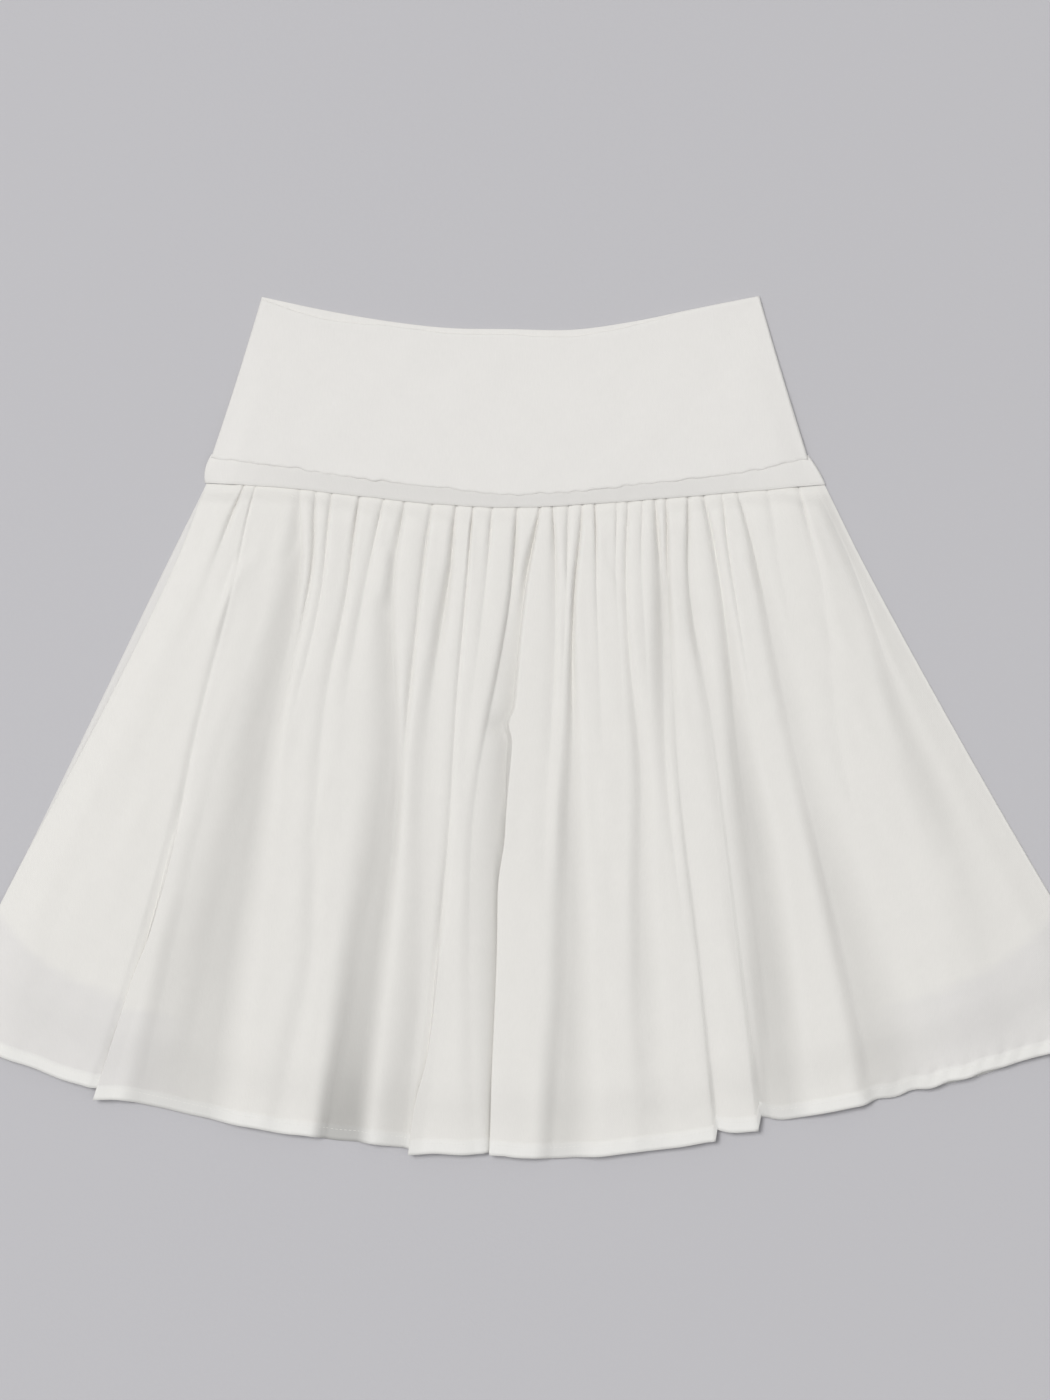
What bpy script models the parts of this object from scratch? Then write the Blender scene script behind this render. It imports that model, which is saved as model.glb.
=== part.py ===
"""A-line skirt laid flat: a deep fitted yoke, a narrow band at the dropped seam and a gathered skirt.

The garment lies on its back on the surface z = 0, waist towards +Y, hem towards -Y, origin under the
middle of its outline. Sizes are in millimetres and become metres when a mesh is made.
"""

import math
from collections import namedtuple

import bmesh
import bpy

COLLECTION = "a_line_skirt"
MM = 0.001

# Cloth walls, and the air left between two layers or two edges that meet at a seam
WALL = 1.0
YOKE_WALL = 1.2
HEM_WALL = 1.3
GAP = 0.3

# Left and right ends of the waist, the yoke's seam and the band's lower edge
Ends = namedtuple("Ends", "left right")
WAIST = Ends(-186.5, 155.0)
SEAM = Ends(-221.0, 188.5)
BAND_LOW = Ends(-225.5, 200.5)

# Heights of the cross edges above the origin, from the left side (-1) to the right side (+1)
Across = namedtuple("Across", "share waist_back waist_front seam band_low hem")
ACROSS = (
    Across(-1.00, 295.4, 293.5, 184.8, 167.6, -209.0),
    Across(-0.75, 286.3, 279.9, 179.3, 164.3, -246.0),
    Across(-0.50, 278.9, 275.5, 172.0, 158.4, -272.5),
    Across(-0.25, 274.1, 270.3, 166.2, 152.9, -287.0),
    Across(0.00, 273.3, 269.2, 161.0, 150.6, -296.3),
    Across(0.25, 272.9, 268.0, 163.8, 153.2, -285.0),
    Across(0.50, 278.7, 275.8, 169.4, 157.2, -264.0),
    Across(0.75, 287.6, 287.1, 174.8, 161.7, -237.0),
    Across(1.00, 296.1, 295.6, 184.1, 166.5, -206.0),
)

# Shares of the skirt's length at which the rows below give a value: band, upper, middle, low, hem
STATIONS = (0.0, 0.15, 0.42, 0.7, 1.0)
SIDE_LEFT = (-224.5, -252.4, -301.5, -353.0, -410.0)
SIDE_RIGHT = (200.0, 227.7, 282.7, 342.5, 410.0)
FRONT_INSET_LEFT = (0.0, 6.0, 5.0, 0.0, 0.0)
FRONT_CREST = (5.0, 5.2, 5.2, 6.0, 6.5)

# Folds of the front, left to right: where each runs, how deep it is at the five stations, and the half
# width of its valley at the band and at the hem
Fold = namedtuple(
    "Fold",
    "band upper middle low hem deep_band deep_upper deep_middle deep_low deep_hem wide_top wide_hem",
)
FOLD_PLACES = slice(0, len(STATIONS))
FOLD_DEPTHS = slice(len(STATIONS), 2 * len(STATIONS))
FOLDS = (
    Fold(-197, -223, -277, -310, -336, 3.5, 2.5, 1.2, 1.8, 1.5, 3.0, 14.0),
    Fold(-190, -208, -226, -261, -305, 3.0, 3.0, 3.0, 5.0, 6.5, 2.8, 14.0),
    Fold(-174, -184, -210, -239, -279, 3.2, 0.8, 1.0, 2.0, 3.5, 2.8, 7.0),
    Fold(-157, -168, -191, -221, -264, 3.0, 1.8, 1.6, 1.6, 1.2, 2.8, 10.0),
    Fold(-145, -160, -186, -216, -257, 3.5, 3.0, 2.0, 2.0, 1.5, 2.8, 10.0),
    Fold(-134, -151, -181, -211, -248, 3.5, 3.0, 1.6, 1.6, 1.2, 2.8, 10.0),
    Fold(-116, -130, -141, -154, -187, 4.0, 3.5, 1.2, 2.0, 2.2, 2.8, 14.0),
    Fold(-101, -118, -130, -140, -160, 3.5, 2.5, 0.4, 0.2, 0.0, 2.8, 10.0),
    Fold(-86, -97, -110, -131, -143, 3.5, 3.0, 1.0, 2.0, 2.5, 2.8, 8.0),
    Fold(-66, -79, -98, -123, -132, 4.0, 3.8, 4.0, 4.2, 4.5, 2.8, 9.0),
    Fold(-54, -61, -79, -80, -97, 4.2, 4.0, 2.5, 1.5, 1.5, 3.0, 12.0),
    Fold(-38, -46, -53, -67, -86, 3.0, 1.5, 1.5, 4.0, 6.5, 2.8, 11.0),
    Fold(-28, -34, -46, -54, -64, 2.8, 0.5, 0.0, 0.0, 0.0, 2.8, 8.0),
    Fold(-11, -17, -40, -45, -46, 3.5, 3.0, 0.0, 0.0, 0.0, 2.8, 10.0),
    Fold(3, -8, -18, -26, -28, 3.8, 3.5, 5.0, 6.0, 6.5, 2.8, 16.0),
    Fold(12, 17, 8, 3, -2, 3.5, 2.0, 0.0, 0.0, 0.0, 2.8, 10.0),
    Fold(25, 26, 22, 17, 9, 3.5, 2.5, 2.5, 2.5, 2.5, 2.8, 9.0),
    Fold(33, 32, 27, 23, 18, 3.5, 2.8, 2.5, 2.5, 2.5, 2.8, 9.0),
    Fold(42, 47, 49, 48, 46, 3.0, 1.2, 0.0, 0.0, 0.0, 2.8, 10.0),
    Fold(55, 62, 71, 73, 76, 3.5, 3.2, 2.8, 2.4, 2.0, 2.8, 10.0),
    Fold(64, 68, 76, 80, 83, 3.0, 1.8, 0.0, 0.0, 0.0, 2.8, 10.0),
    Fold(75, 75, 84, 92, 98, 2.5, 0.8, 0.0, 0.0, 0.0, 2.8, 10.0),
    Fold(83, 82, 91, 106, 117, 3.2, 3.0, 0.5, 0.0, 0.0, 2.8, 10.0),
    Fold(90, 89, 97, 114, 125, 3.2, 3.0, 4.8, 6.0, 6.5, 2.8, 12.0),
    Fold(106, 107, 125, 141, 157, 3.5, 2.8, 1.5, 4.0, 6.0, 2.8, 9.0),
    Fold(116, 127, 141, 157, 166, 3.8, 3.5, 3.8, 3.5, 2.5, 2.8, 8.0),
    Fold(128, 134, 152, 169, 183, 3.0, 1.0, 0.0, 0.0, 0.0, 2.8, 10.0),
    Fold(137, 154, 176, 212, 228, 3.8, 3.2, 3.0, 3.0, 3.0, 2.8, 12.0),
    Fold(159, 165, 198, 224, 242, 2.8, 0.4, 0.0, 0.0, 0.0, 2.8, 10.0),
    Fold(168, 181, 219, 242, 259, 2.8, 0.4, 0.0, 0.0, 0.0, 2.8, 10.0),
    Fold(177, 196, 255, 289, 310, 3.2, 2.0, 2.0, 1.0, 0.5, 3.0, 14.0),
    Fold(190, 213, 271, 324, 375, 2.0, 0.5, 0.0, 0.0, 0.0, 3.0, 10.0),
)

# Folds whose one side lies over the other: over = 1 where the right side is on top, -1 where the left
# is; reach at the hem; share of the length where the lap starts; how the hem steps at either side
Lap = namedtuple("Lap", "fold over reach start step_left step_right")
LAPS = (
    Lap(1, 1, 6.0, 0.42, 0.0, -5.0),
    Lap(11, 1, 6.0, 0.62, 0.0, -4.0),
    Lap(14, 1, 8.0, 0.28, 1.5, 1.5),
    Lap(23, -1, 5.0, 0.28, 2.0, 10.0),
    Lap(24, -1, 5.0, 0.48, -2.0, 6.0),
)
STEP_FADE = 15.0
LAP_RISES_IN = 0.12
LAP_TURNS_AFTER = 0.1
LAP_TURNS_IN = 0.25
LAP_HALF_SLOPE = 3.5
LAP_SLOPE_SHARE = 0.25
LAP_STEEP = 1.0
LAP_SLOPE = math.radians(60)
BEND_POINTS = 4

# Rows of the skirt's grid, as shares of its length: the front comes out from under the band at BAND_EDGE,
# and the hem's ledge is between HEM_FOLD and HEM_EDGE
HEM_FOLD = 0.972
HEM_EDGE = 0.978
BAND_EDGE = 0.008
FRONT_ROWS = (
    *(0.0, BAND_EDGE, 0.022, 0.05, 0.1, 0.17, 0.26, 0.36, 0.48, 0.61, 0.74, 0.86, 0.9),
    *(HEM_FOLD, HEM_EDGE, 1.0),
)
BACK_ROWS = (0.0, 0.04, 0.12, 0.24, 0.42, 0.65, HEM_FOLD, HEM_EDGE, 1.0)
FOLD_STEPS = 3
WIDE_FOLD_STEPS = 4
WIDE_FOLD = 32.0

# How the front swells out from under the band, comes down at the sides and tucks under the band
PUFF_AT_BAND = 0.25
PUFF_LENGTH = 0.04
SIDE_ROUND = 18.0
TUCK = 3.0
TUCK_FROM_END = 20.0
TUCK_RAMP = 12.0

# Back panel: even gathers pressed flat on the surface, each third one running down to the hem
BACK_GATHERS = 26
BACK_GATHER_JITTER = 0.3
GROOVE = 0.8
GROOVE_FADE = (0.12, 0.4)
GROOVE_START = 0.02
LONG_GROOVE_EVERY = 3
BACK_HEM_SHORT = 8.0
BACK_HEM_SHOWS_AT = 305.0
BACK_HEM_SHOWS_WIDE = 62.0
BACK_HEM_SHOWS = 11.0

# Lining: a narrower A-line pair that ends well above the hem and curves up at its corners
LINING_TOP = 0.045
LINING_RAMP = 0.03
LINING_LOW = 0.865
LINING_CORNER_RISE = 0.085
LINING_INSET_TOP = 13.0
LINING_INSET_LOW = 27.0
LINING_COLUMNS = 16
LINING_ROWS = 7
LINING_CLEAR = 0.03
LINING_HEM_RAMP = 0.08

# Yoke and band grids, and how the front's seam line comes down towards the sides
YOKE_COLUMNS = 24
YOKE_ROWS = 7
YOKE_SIDE_BOW = 2.0
BAND_COLUMNS = 48
BAND_ROWS = 3
BAND_UNDER_YOKE = 2.5
BAND_CROWN = 0.4
BAND_OVER_GATHERS = 3.85
BAND_END_RAMP = 22.0

SKIRT_WHITE = (0.79, 0.78, 0.75)
YOKE_WHITE = (0.80, 0.79, 0.76)
LINING_WHITE = (0.83, 0.82, 0.80)
CLOTH_ROUGHNESS = 0.85


def mix(start, end, share):
    """Value between start and end."""
    return start + (end - start) * share


def smooth(share):
    """Ease from 0 to 1, flat at both ends."""
    share = min(max(share, 0.0), 1.0)
    return share * share * (3.0 - 2.0 * share)


def through(knots, values, place):
    """Smooth curve through values at the knots, read at place."""
    place = min(max(place, knots[0]), knots[-1])
    last = len(knots) - 1
    left = max(i for i in range(last) if knots[i] <= place)
    slopes = []
    for i in (left, left + 1):
        before = max(i - 1, 0)
        after = min(i + 1, last)
        slopes.append((values[after] - values[before]) / (knots[after] - knots[before]))
    span = knots[left + 1] - knots[left]
    t = (place - knots[left]) / span
    start = (1 + 2 * t) * (1 - t) ** 2 * values[left] + t * (1 - t) ** 2 * span * slopes[0]
    end = t * t * (3 - 2 * t) * values[left + 1] + t * t * (t - 1) * span * slopes[1]
    return start + end


def down(values, v):
    """Value of a row given at STATIONS, at share v of the skirt's length."""
    return through(STATIONS, values, v)


def edge_height(edge, u):
    """Height of a cross edge at u, from -1 at the left side to 1 at the right."""
    return through([row.share for row in ACROSS], [getattr(row, edge) for row in ACROSS], u)


def between(ends, u):
    """Place between two ends for u from -1 to 1."""
    return mix(ends.left, ends.right, (u + 1) / 2)


def share_across(ends, x):
    """The u of a place between two ends."""
    return 2 * (x - ends.left) / (ends.right - ends.left) - 1


def sides(v, front):
    """Left and right sides of a skirt panel at share v."""
    inset = down(FRONT_INSET_LEFT, v) if front else 0.0
    return Ends(down(SIDE_LEFT, v) + inset, down(SIDE_RIGHT, v))


def from_side(ends, x):
    """Distance from the nearer side."""
    return min(x - ends.left, ends.right - x)


def panel_top(x, tuck):
    """Height of a skirt panel's upper edge, which runs under the band by tuck away from the ends."""
    from_end = min(x - BAND_LOW.left, BAND_LOW.right - x)
    under = mix(-GAP, tuck, smooth((from_end - TUCK_FROM_END) / TUCK_RAMP))
    return edge_height("band_low", share_across(BAND_LOW, x)) + under


def base_hem(x):
    """Height of the hem's even curve."""
    return edge_height("hem", share_across(sides(1.0, False), x))


def front_hem(x):
    """Height of the front's hem, stepped where one fold lies over the next."""
    height = base_hem(x)
    for lap in LAPS:
        away = x - FOLDS[lap.fold].hem
        step = lap.step_left if away < 0 else lap.step_right
        height += step * math.exp(-abs(away) / STEP_FADE)
    return height


def back_hem(x):
    """Height of the back's hem: hidden behind the front's, but for a stretch on the right."""
    u = abs(share_across(sides(1.0, False), x))
    shows = math.exp(-(((x - BACK_HEM_SHOWS_AT) / BACK_HEM_SHOWS_WIDE) ** 2))
    return base_hem(x) + BACK_HEM_SHORT * (1 - u**4) - BACK_HEM_SHOWS * shows * (1 - u**4)


def wall_at(v):
    """Thickness of a skirt panel at share v."""
    return HEM_WALL if v >= HEM_EDGE else WALL


def front_level(v, x):
    """Height of the front's middle surface where it rests on the layers below."""
    ends = sides(v, True)
    inset = from_side(ends, x)
    lining_low = LINING_LOW - LINING_CORNER_RISE * abs(share_across(ends, x)) ** 6
    lined = smooth(inset / LINING_INSET_TOP) * smooth((v - BAND_EDGE) / LINING_RAMP)
    lined *= smooth((lining_low + LINING_CLEAR - v) / LINING_HEM_RAMP + 1)
    grooved = smooth(inset / LINING_INSET_TOP) * smooth((v - BAND_EDGE) / GROOVE_START)
    return wall_at(v) * 1.5 + GAP + GROOVE * grooved + 2 * (WALL + GAP) * lined


def lap_of(fold):
    """The lap on a fold, or None."""
    return next((lap for lap in LAPS if lap.fold == fold), None)


def lap_risen(lap, v):
    """How far the upper side of a lap has risen over the lower one at share v, from 0 to 1."""
    return smooth((v - lap.start) / LAP_RISES_IN)


def lap_turned(lap, v):
    """How far the cloth of a lap has turned under at share v, from 0 to 1."""
    return smooth((v - lap.start - LAP_TURNS_AFTER) / LAP_TURNS_IN)


def fold_places(v):
    """Places of the folds across the front at share v."""
    return [down(fold[FOLD_PLACES], v) for fold in FOLDS]


def front_height(v, x, places):
    """Height of the front over its resting level: a crest less the valleys of its folds."""
    height = down(FRONT_CREST, v)
    for index, fold in enumerate(FOLDS):
        deep = down(fold[FOLD_DEPTHS], v)
        wide = mix(fold.wide_top, fold.wide_hem, v)
        away = x - places[index]
        lap = lap_of(index)
        if lap and away * lap.over > 0:
            wide = mix(wide, LAP_STEEP, lap_risen(lap, v))
        height -= deep / (1 + (away / wide) ** 2) ** 1.5
    puff = mix(PUFF_AT_BAND, 1.0, smooth((v - BAND_EDGE) / PUFF_LENGTH))
    taper = smooth(from_side(sides(v, True), x) / SIDE_ROUND)
    return max(height, 0.0) * puff * taper


def turned_edge(rise, reach, turned):
    """Points of an S of the given rise, from a slope where turned is 0 to a flat lap where it is 1."""
    radius = rise / 4
    lean = mix(LAP_SLOPE, math.pi, turned)
    run = 2 * radius / math.tan(lean / 2) + reach * smooth(2 * turned - 1)
    across = 2 * radius * math.sin(lean) + run * math.cos(lean)
    height = 2 * radius * (1 - math.cos(lean)) + run * math.sin(lean)
    bend = []
    for index in range(BEND_POINTS):
        angle = lean * index / (BEND_POINTS - 1)
        up = radius * (1 - math.cos(angle)) * rise / height
        bend.append((radius * math.sin(angle) - across / 2, up))
    return bend + [(-x, rise - up) for x, up in reversed(bend)]


def lap_section(lap, v, x, half, places):
    """Points of the S that cloth makes in a lap at x, as (x before lapping, x, height)."""
    risen = lap_risen(lap, v)
    low = front_height(v, x, places)
    high = front_height(v, x + half * lap.over, places)
    bent = turned_edge(high - low, lap.reach, lap_turned(lap, v))
    points = []
    for index, (across, up) in enumerate(bent):
        plain = mix(-half, half, index / (len(bent) - 1))
        height = mix(front_height(v, x + plain * lap.over, places), low + up, risen)
        points.append((x + plain * lap.over, x + mix(plain, across, risen) * lap.over, height))
    return points if lap.over > 0 else points[::-1]


def front_section(v):
    """One section across the front, left to right, as (x before lapping, x, height)."""
    ends = sides(v, True)
    places = fold_places(v)
    lines = [ends.left] + places + [ends.right]
    hem_lines = [SIDE_LEFT[-1]] + [fold.hem for fold in FOLDS] + [SIDE_RIGHT[-1]]
    section = []
    for index in range(len(lines) - 1):
        left, right = lines[index], lines[index + 1]
        wide = hem_lines[index + 1] - hem_lines[index] > WIDE_FOLD
        steps = WIDE_FOLD_STEPS if wide else FOLD_STEPS
        lap = lap_of(index - 1)
        for step in range(steps):
            x = mix(left, right, step / steps)
            if step or not lap:
                section.append((x, x, front_height(v, x, places)))
                continue
            room = min(right - left, left - lines[index - 1])
            half = min(LAP_HALF_SLOPE, LAP_SLOPE_SHARE * room)
            section += lap_section(lap, v, x, half, places)
    section.append((ends.right, ends.right, front_height(v, ends.right, places)))
    return section


def front_rows():
    """Grid of the skirt's front: a row of points for each section."""
    top = [panel_top(plain, TUCK) for plain, _, _ in front_section(0.0)]
    hem = [front_hem(plain) for plain, _, _ in front_section(1.0)]
    rows = []
    for v in FRONT_ROWS:
        row = []
        for column, (plain, x, height) in enumerate(front_section(v)):
            row.append((x, mix(top[column], hem[column], v), height + front_level(v, plain)))
        rows.append(row)
    return rows


def back_gathers():
    """Places of the back's gathers, as shares of its width."""
    places = []
    for index in range(BACK_GATHERS):
        jitter = BACK_GATHER_JITTER * math.sin(2.4 * index)
        places.append((index + 0.5 + jitter) / BACK_GATHERS)
    return places


def groove_height(index, v):
    """How far gather index lifts off the surface at share v."""
    rise = GROOVE * smooth(v / GROOVE_START)
    if index % LONG_GROOVE_EVERY == 1:
        return rise
    return rise * (1 - smooth((v - GROOVE_FADE[0]) / (GROOVE_FADE[1] - GROOVE_FADE[0])))


def back_rows():
    """Grid of the skirt's back, whose underside rests on the surface between its gathers."""
    gathers = [0.0] + back_gathers() + [1.0]
    columns = []
    for index in range(len(gathers) - 1):
        for step in range(FOLD_STEPS):
            lifted = index - 1 if index and not step else None
            columns.append((mix(gathers[index], gathers[index + 1], step / FOLD_STEPS), lifted))
    columns.append((1.0, None))
    rows = []
    for v in BACK_ROWS:
        row = []
        for share, lifted in columns:
            top = panel_top(mix(SIDE_LEFT[0], SIDE_RIGHT[0], share), -GAP)
            hem = back_hem(mix(SIDE_LEFT[-1], SIDE_RIGHT[-1], share))
            x = mix(*sides(v, False), share)
            row.append((x, mix(top, hem, v), 0.0 if lifted is None else groove_height(lifted, v)))
        rows.append(row)
    return rows


def lining_rows(level):
    """Grid of one flat lining panel whose underside is at level."""
    rows = []
    for step in range(LINING_ROWS):
        row = []
        for column in range(LINING_COLUMNS + 1):
            u = mix(-1.0, 1.0, column / LINING_COLUMNS)
            low = LINING_LOW - LINING_CORNER_RISE * abs(u) ** 6
            v = mix(LINING_TOP, low, step / (LINING_ROWS - 1))
            inset = mix(LINING_INSET_TOP, LINING_INSET_LOW, v / LINING_LOW)
            ends = sides(v, True)
            x = between(Ends(ends.left + inset, ends.right - inset), u)
            top = panel_top(between(BAND_LOW, u), -GAP)
            row.append((x, mix(top, base_hem(between(sides(1.0, False), u)), v), level))
        rows.append(row)
    return rows


def band_level(u):
    """Height of the underside of the front's band, which comes down at its ends."""
    width = BAND_LOW.right - BAND_LOW.left
    from_end = (1 - abs(u)) * width / 2
    return mix(WALL + GAP, BAND_OVER_GATHERS, smooth(from_end / BAND_END_RAMP))


def yoke_rows(waist, front):
    """Grid of a yoke panel from its waist edge down to the seam."""
    rows = []
    for step in range(YOKE_ROWS):
        t = step / (YOKE_ROWS - 1)
        row = []
        for column in range(YOKE_COLUMNS + 1):
            u = mix(-1.0, 1.0, column / YOKE_COLUMNS)
            x = mix(between(WAIST, u), between(SEAM, u), t) - YOKE_SIDE_BOW * u * t * (1 - t)
            y = mix(edge_height(waist, u), edge_height("seam", u), t)
            over_band = band_level(u) + WALL + GAP + BAND_CROWN
            z = mix(YOKE_WALL + GAP, over_band, smooth(t)) if front else 0.0
            row.append((x, y, z))
        rows.append(row)
    return rows


def band_rows(front):
    """Grid of a band panel, its upper edge under the front yoke, or against the back yoke's edge."""
    above_seam = BAND_UNDER_YOKE if front else -GAP
    rows = []
    for step in range(BAND_ROWS + 1):
        t = step / BAND_ROWS
        row = []
        for column in range(BAND_COLUMNS + 1):
            u = mix(-1.0, 1.0, column / BAND_COLUMNS)
            x = mix(between(SEAM, u), between(BAND_LOW, u), t)
            y = mix(edge_height("seam", u) + above_seam, edge_height("band_low", u), t)
            crown = BAND_CROWN * math.sin(math.pi * t)
            row.append((x, y, band_level(u) + crown if front else 0.0))
        rows.append(row)
    return rows


def cloth_material(name, colour):
    """Matte white cloth."""
    material = bpy.data.materials.new(name)
    material.use_nodes = True
    shader = material.node_tree.nodes["Principled BSDF"]
    shader.inputs["Base Color"].default_value = (*colour, 1.0)
    shader.inputs["Roughness"].default_value = CLOTH_ROUGHNESS
    shader.inputs["Metallic"].default_value = 0.0
    return material


def cloth_panel(name, rows, colour, wall=WALL, offset=1.0, hem_from=None):
    """A panel lofted through its rows, waist first, and given its wall by Solidify.

    An offset of 1 builds the wall up from the rows, and 0 builds it to both sides of them. Rows from
    hem_from on have the hem's wall.
    """
    grid = bmesh.new()
    points = [[grid.verts.new((x * MM, y * MM, z * MM)) for x, y, z in row] for row in rows]
    for upper, lower in zip(points, points[1:]):
        for left in range(len(upper) - 1):
            face = grid.faces.new((upper[left], lower[left], lower[left + 1], upper[left + 1]))
            face.smooth = True
    mesh = bpy.data.meshes.new(name)
    grid.to_mesh(mesh)
    grid.free()
    mesh.materials.append(cloth_material(name + "_cloth", colour))
    panel = bpy.data.objects.new(name, mesh)
    solid = panel.modifiers.new("cloth wall", "SOLIDIFY")
    solid.thickness = wall * MM
    solid.offset = offset
    solid.use_rim = True
    if hem_from is not None:
        hem = panel.vertex_groups.new(name="hem")
        columns = len(rows[0])
        hem.add(list(range(hem_from * columns, len(rows) * columns)), 1.0, "REPLACE")
        solid.thickness = HEM_WALL * MM
        solid.vertex_group = hem.name
        solid.thickness_vertex_group = wall / HEM_WALL
    return panel


def build_skirt():
    """All the garment's panels, from the back up."""
    lining_back_level = WALL + GROOVE + GAP
    lining_front_level = lining_back_level + WALL + GAP
    return [
        cloth_panel("yoke_back", yoke_rows("waist_back", False), YOKE_WHITE, YOKE_WALL),
        cloth_panel("band_back", band_rows(False), YOKE_WHITE),
        cloth_panel("skirt_back", back_rows(), SKIRT_WHITE, hem_from=BACK_ROWS.index(HEM_EDGE)),
        cloth_panel("lining_back", lining_rows(lining_back_level), LINING_WHITE),
        cloth_panel("lining_front", lining_rows(lining_front_level), LINING_WHITE),
        cloth_panel(
            "skirt_front", front_rows(), SKIRT_WHITE, offset=0.0, hem_from=FRONT_ROWS.index(HEM_EDGE)
        ),
        cloth_panel("band_front", band_rows(True), YOKE_WHITE),
        cloth_panel("yoke_front", yoke_rows("waist_front", True), YOKE_WHITE, YOKE_WALL),
    ]


def main():
    """Clear the scene's objects and build the skirt in its own collection."""
    for old in list(bpy.data.objects):
        bpy.data.objects.remove(old, do_unlink=True)
    parts = bpy.data.collections.new(COLLECTION)
    bpy.context.scene.collection.children.link(parts)
    for panel in build_skirt():
        parts.objects.link(panel)


if __name__ == "__main__":
    main()
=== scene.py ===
"""White cotton A-line skirt laid flat: thin cloth shells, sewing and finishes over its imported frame.

Lengths in this file are millimetres unless a name says otherwise. A point becomes metres when its mesh
is made. X runs across the garment, Y from the hem towards the waist, and Z up from the surface.
"""

import logging
import math
from dataclasses import dataclass
from enum import Enum
from functools import lru_cache
from typing import Any, ClassVar, NamedTuple

import bpy
import numpy as np
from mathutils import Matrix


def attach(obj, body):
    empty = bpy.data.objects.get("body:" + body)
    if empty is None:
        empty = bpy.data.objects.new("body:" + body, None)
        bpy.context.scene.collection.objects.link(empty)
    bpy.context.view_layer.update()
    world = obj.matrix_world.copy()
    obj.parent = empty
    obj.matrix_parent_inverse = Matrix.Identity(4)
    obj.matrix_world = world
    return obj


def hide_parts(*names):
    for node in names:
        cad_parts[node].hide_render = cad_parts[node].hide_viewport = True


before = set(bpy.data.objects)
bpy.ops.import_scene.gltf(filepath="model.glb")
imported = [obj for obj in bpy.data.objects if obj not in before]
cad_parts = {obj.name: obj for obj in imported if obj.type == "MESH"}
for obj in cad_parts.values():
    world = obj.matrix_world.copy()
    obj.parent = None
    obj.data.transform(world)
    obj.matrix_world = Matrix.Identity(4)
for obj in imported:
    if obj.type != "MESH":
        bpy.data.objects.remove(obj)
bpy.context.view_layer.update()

LOG = logging.getLogger("skirt")
MM = 0.001
BODY = "root"
Array = np.ndarray
Bands = tuple[tuple[float, float, int], ...]
Span = tuple[float, float]


class Layer(Enum):
    """Which side of the garment a panel belongs to."""

    BACK = "back"
    FRONT = "front"


class Tint(Enum):
    """Vertex attributes that a cloth finish reads."""

    LINED = "lined"
    HEM = "hem"
    # Painted shade: how much greyer the cloth is drawn in valleys, lap openings and under the yoke's edge.
    SHADE = "shade"


Tints = dict[Tint, Array]


class Ends(NamedTuple):
    """Left and right ends of a cross edge."""

    left: float
    right: float


class Across(NamedTuple):
    """Heights of the garment's cross edges at one share of its width."""

    share: float
    waist_back: float
    waist_front: float
    seam: float
    band_low: float
    hem: float


class Fold(NamedTuple):
    """A valley of the front: places and depths at the five stations, and the widths of its two walls.

    Flat is the half width of its floor at the hem, and dark how much more painted shade its valley gets towards the
    hem.
    """

    places: tuple[float, ...]
    depths: tuple[float, ...]
    left: tuple[float, ...]
    right: tuple[float, ...]
    flat: float = 0.0
    dark: float = 1.0


class Lap(NamedTuple):
    """A fold whose one side lies over the other: over is 1 where the right side is on top.

    Turn is how far its cloth turns under, from 0 for a mere step to 1 for a flat lap. Slot is how much
    painted shade the cloth gets in its opening.
    """

    fold: int
    over: int
    reach: float
    start: float
    step_left: float
    step_right: float
    turn: float = 1.0
    slot: float = 0.0


class Crease(NamedTuple):
    """A soft crease between two points: sideways bow, depth (a ridge where negative) and half width."""

    x0: float
    y0: float
    x1: float
    y1: float
    bow: float
    deep: float
    wide: float


WAIST = Ends(-186.5, 155.0)
SEAM = Ends(-221.0, 188.5)
BAND_LOW = Ends(-225.5, 200.5)

ACROSS = (
    Across(-1.00, 295.4, 293.5, 184.8, 167.6, -209.0),
    Across(-0.75, 286.3, 279.9, 179.3, 164.3, -246.0),
    Across(-0.50, 278.9, 275.5, 172.0, 158.4, -272.5),
    Across(-0.25, 274.1, 270.3, 166.2, 152.9, -287.0),
    Across(0.00, 273.3, 269.2, 161.0, 150.6, -296.3),
    Across(0.25, 272.9, 268.0, 163.8, 153.2, -287.0),
    Across(0.50, 278.7, 275.8, 169.4, 157.2, -264.0),
    Across(0.75, 287.6, 287.1, 174.8, 161.7, -237.0),
    Across(1.00, 296.1, 295.6, 184.1, 166.5, -206.0),
)

HEM_FOLD = 0.972
HEM_EDGE = 0.978
HEM_BLUR = 0.003
TUCK_BACK = -0.3
GAP = 0.3
UNDER_BAND = (20.0, 12.0)

STATIONS = (0.0, 0.15, 0.42, 0.7, 1.0)
WALL_STATIONS = (0.0, 0.25, 0.6, 1.0)
SIDE_LEFT = (-224.5, -252.4, -301.5, -353.0, -410.0)
SIDE_RIGHT = (200.0, 227.7, 282.7, 342.5, 410.0)
FRONT_INSET_LEFT = (0.0, 6.0, 5.0, 0.0, 0.0)

CRISP = (1.8, 4.0, 6.0, 8.0)
SOFT = (2.0, 8.0, 12.0, 16.0)

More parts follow.
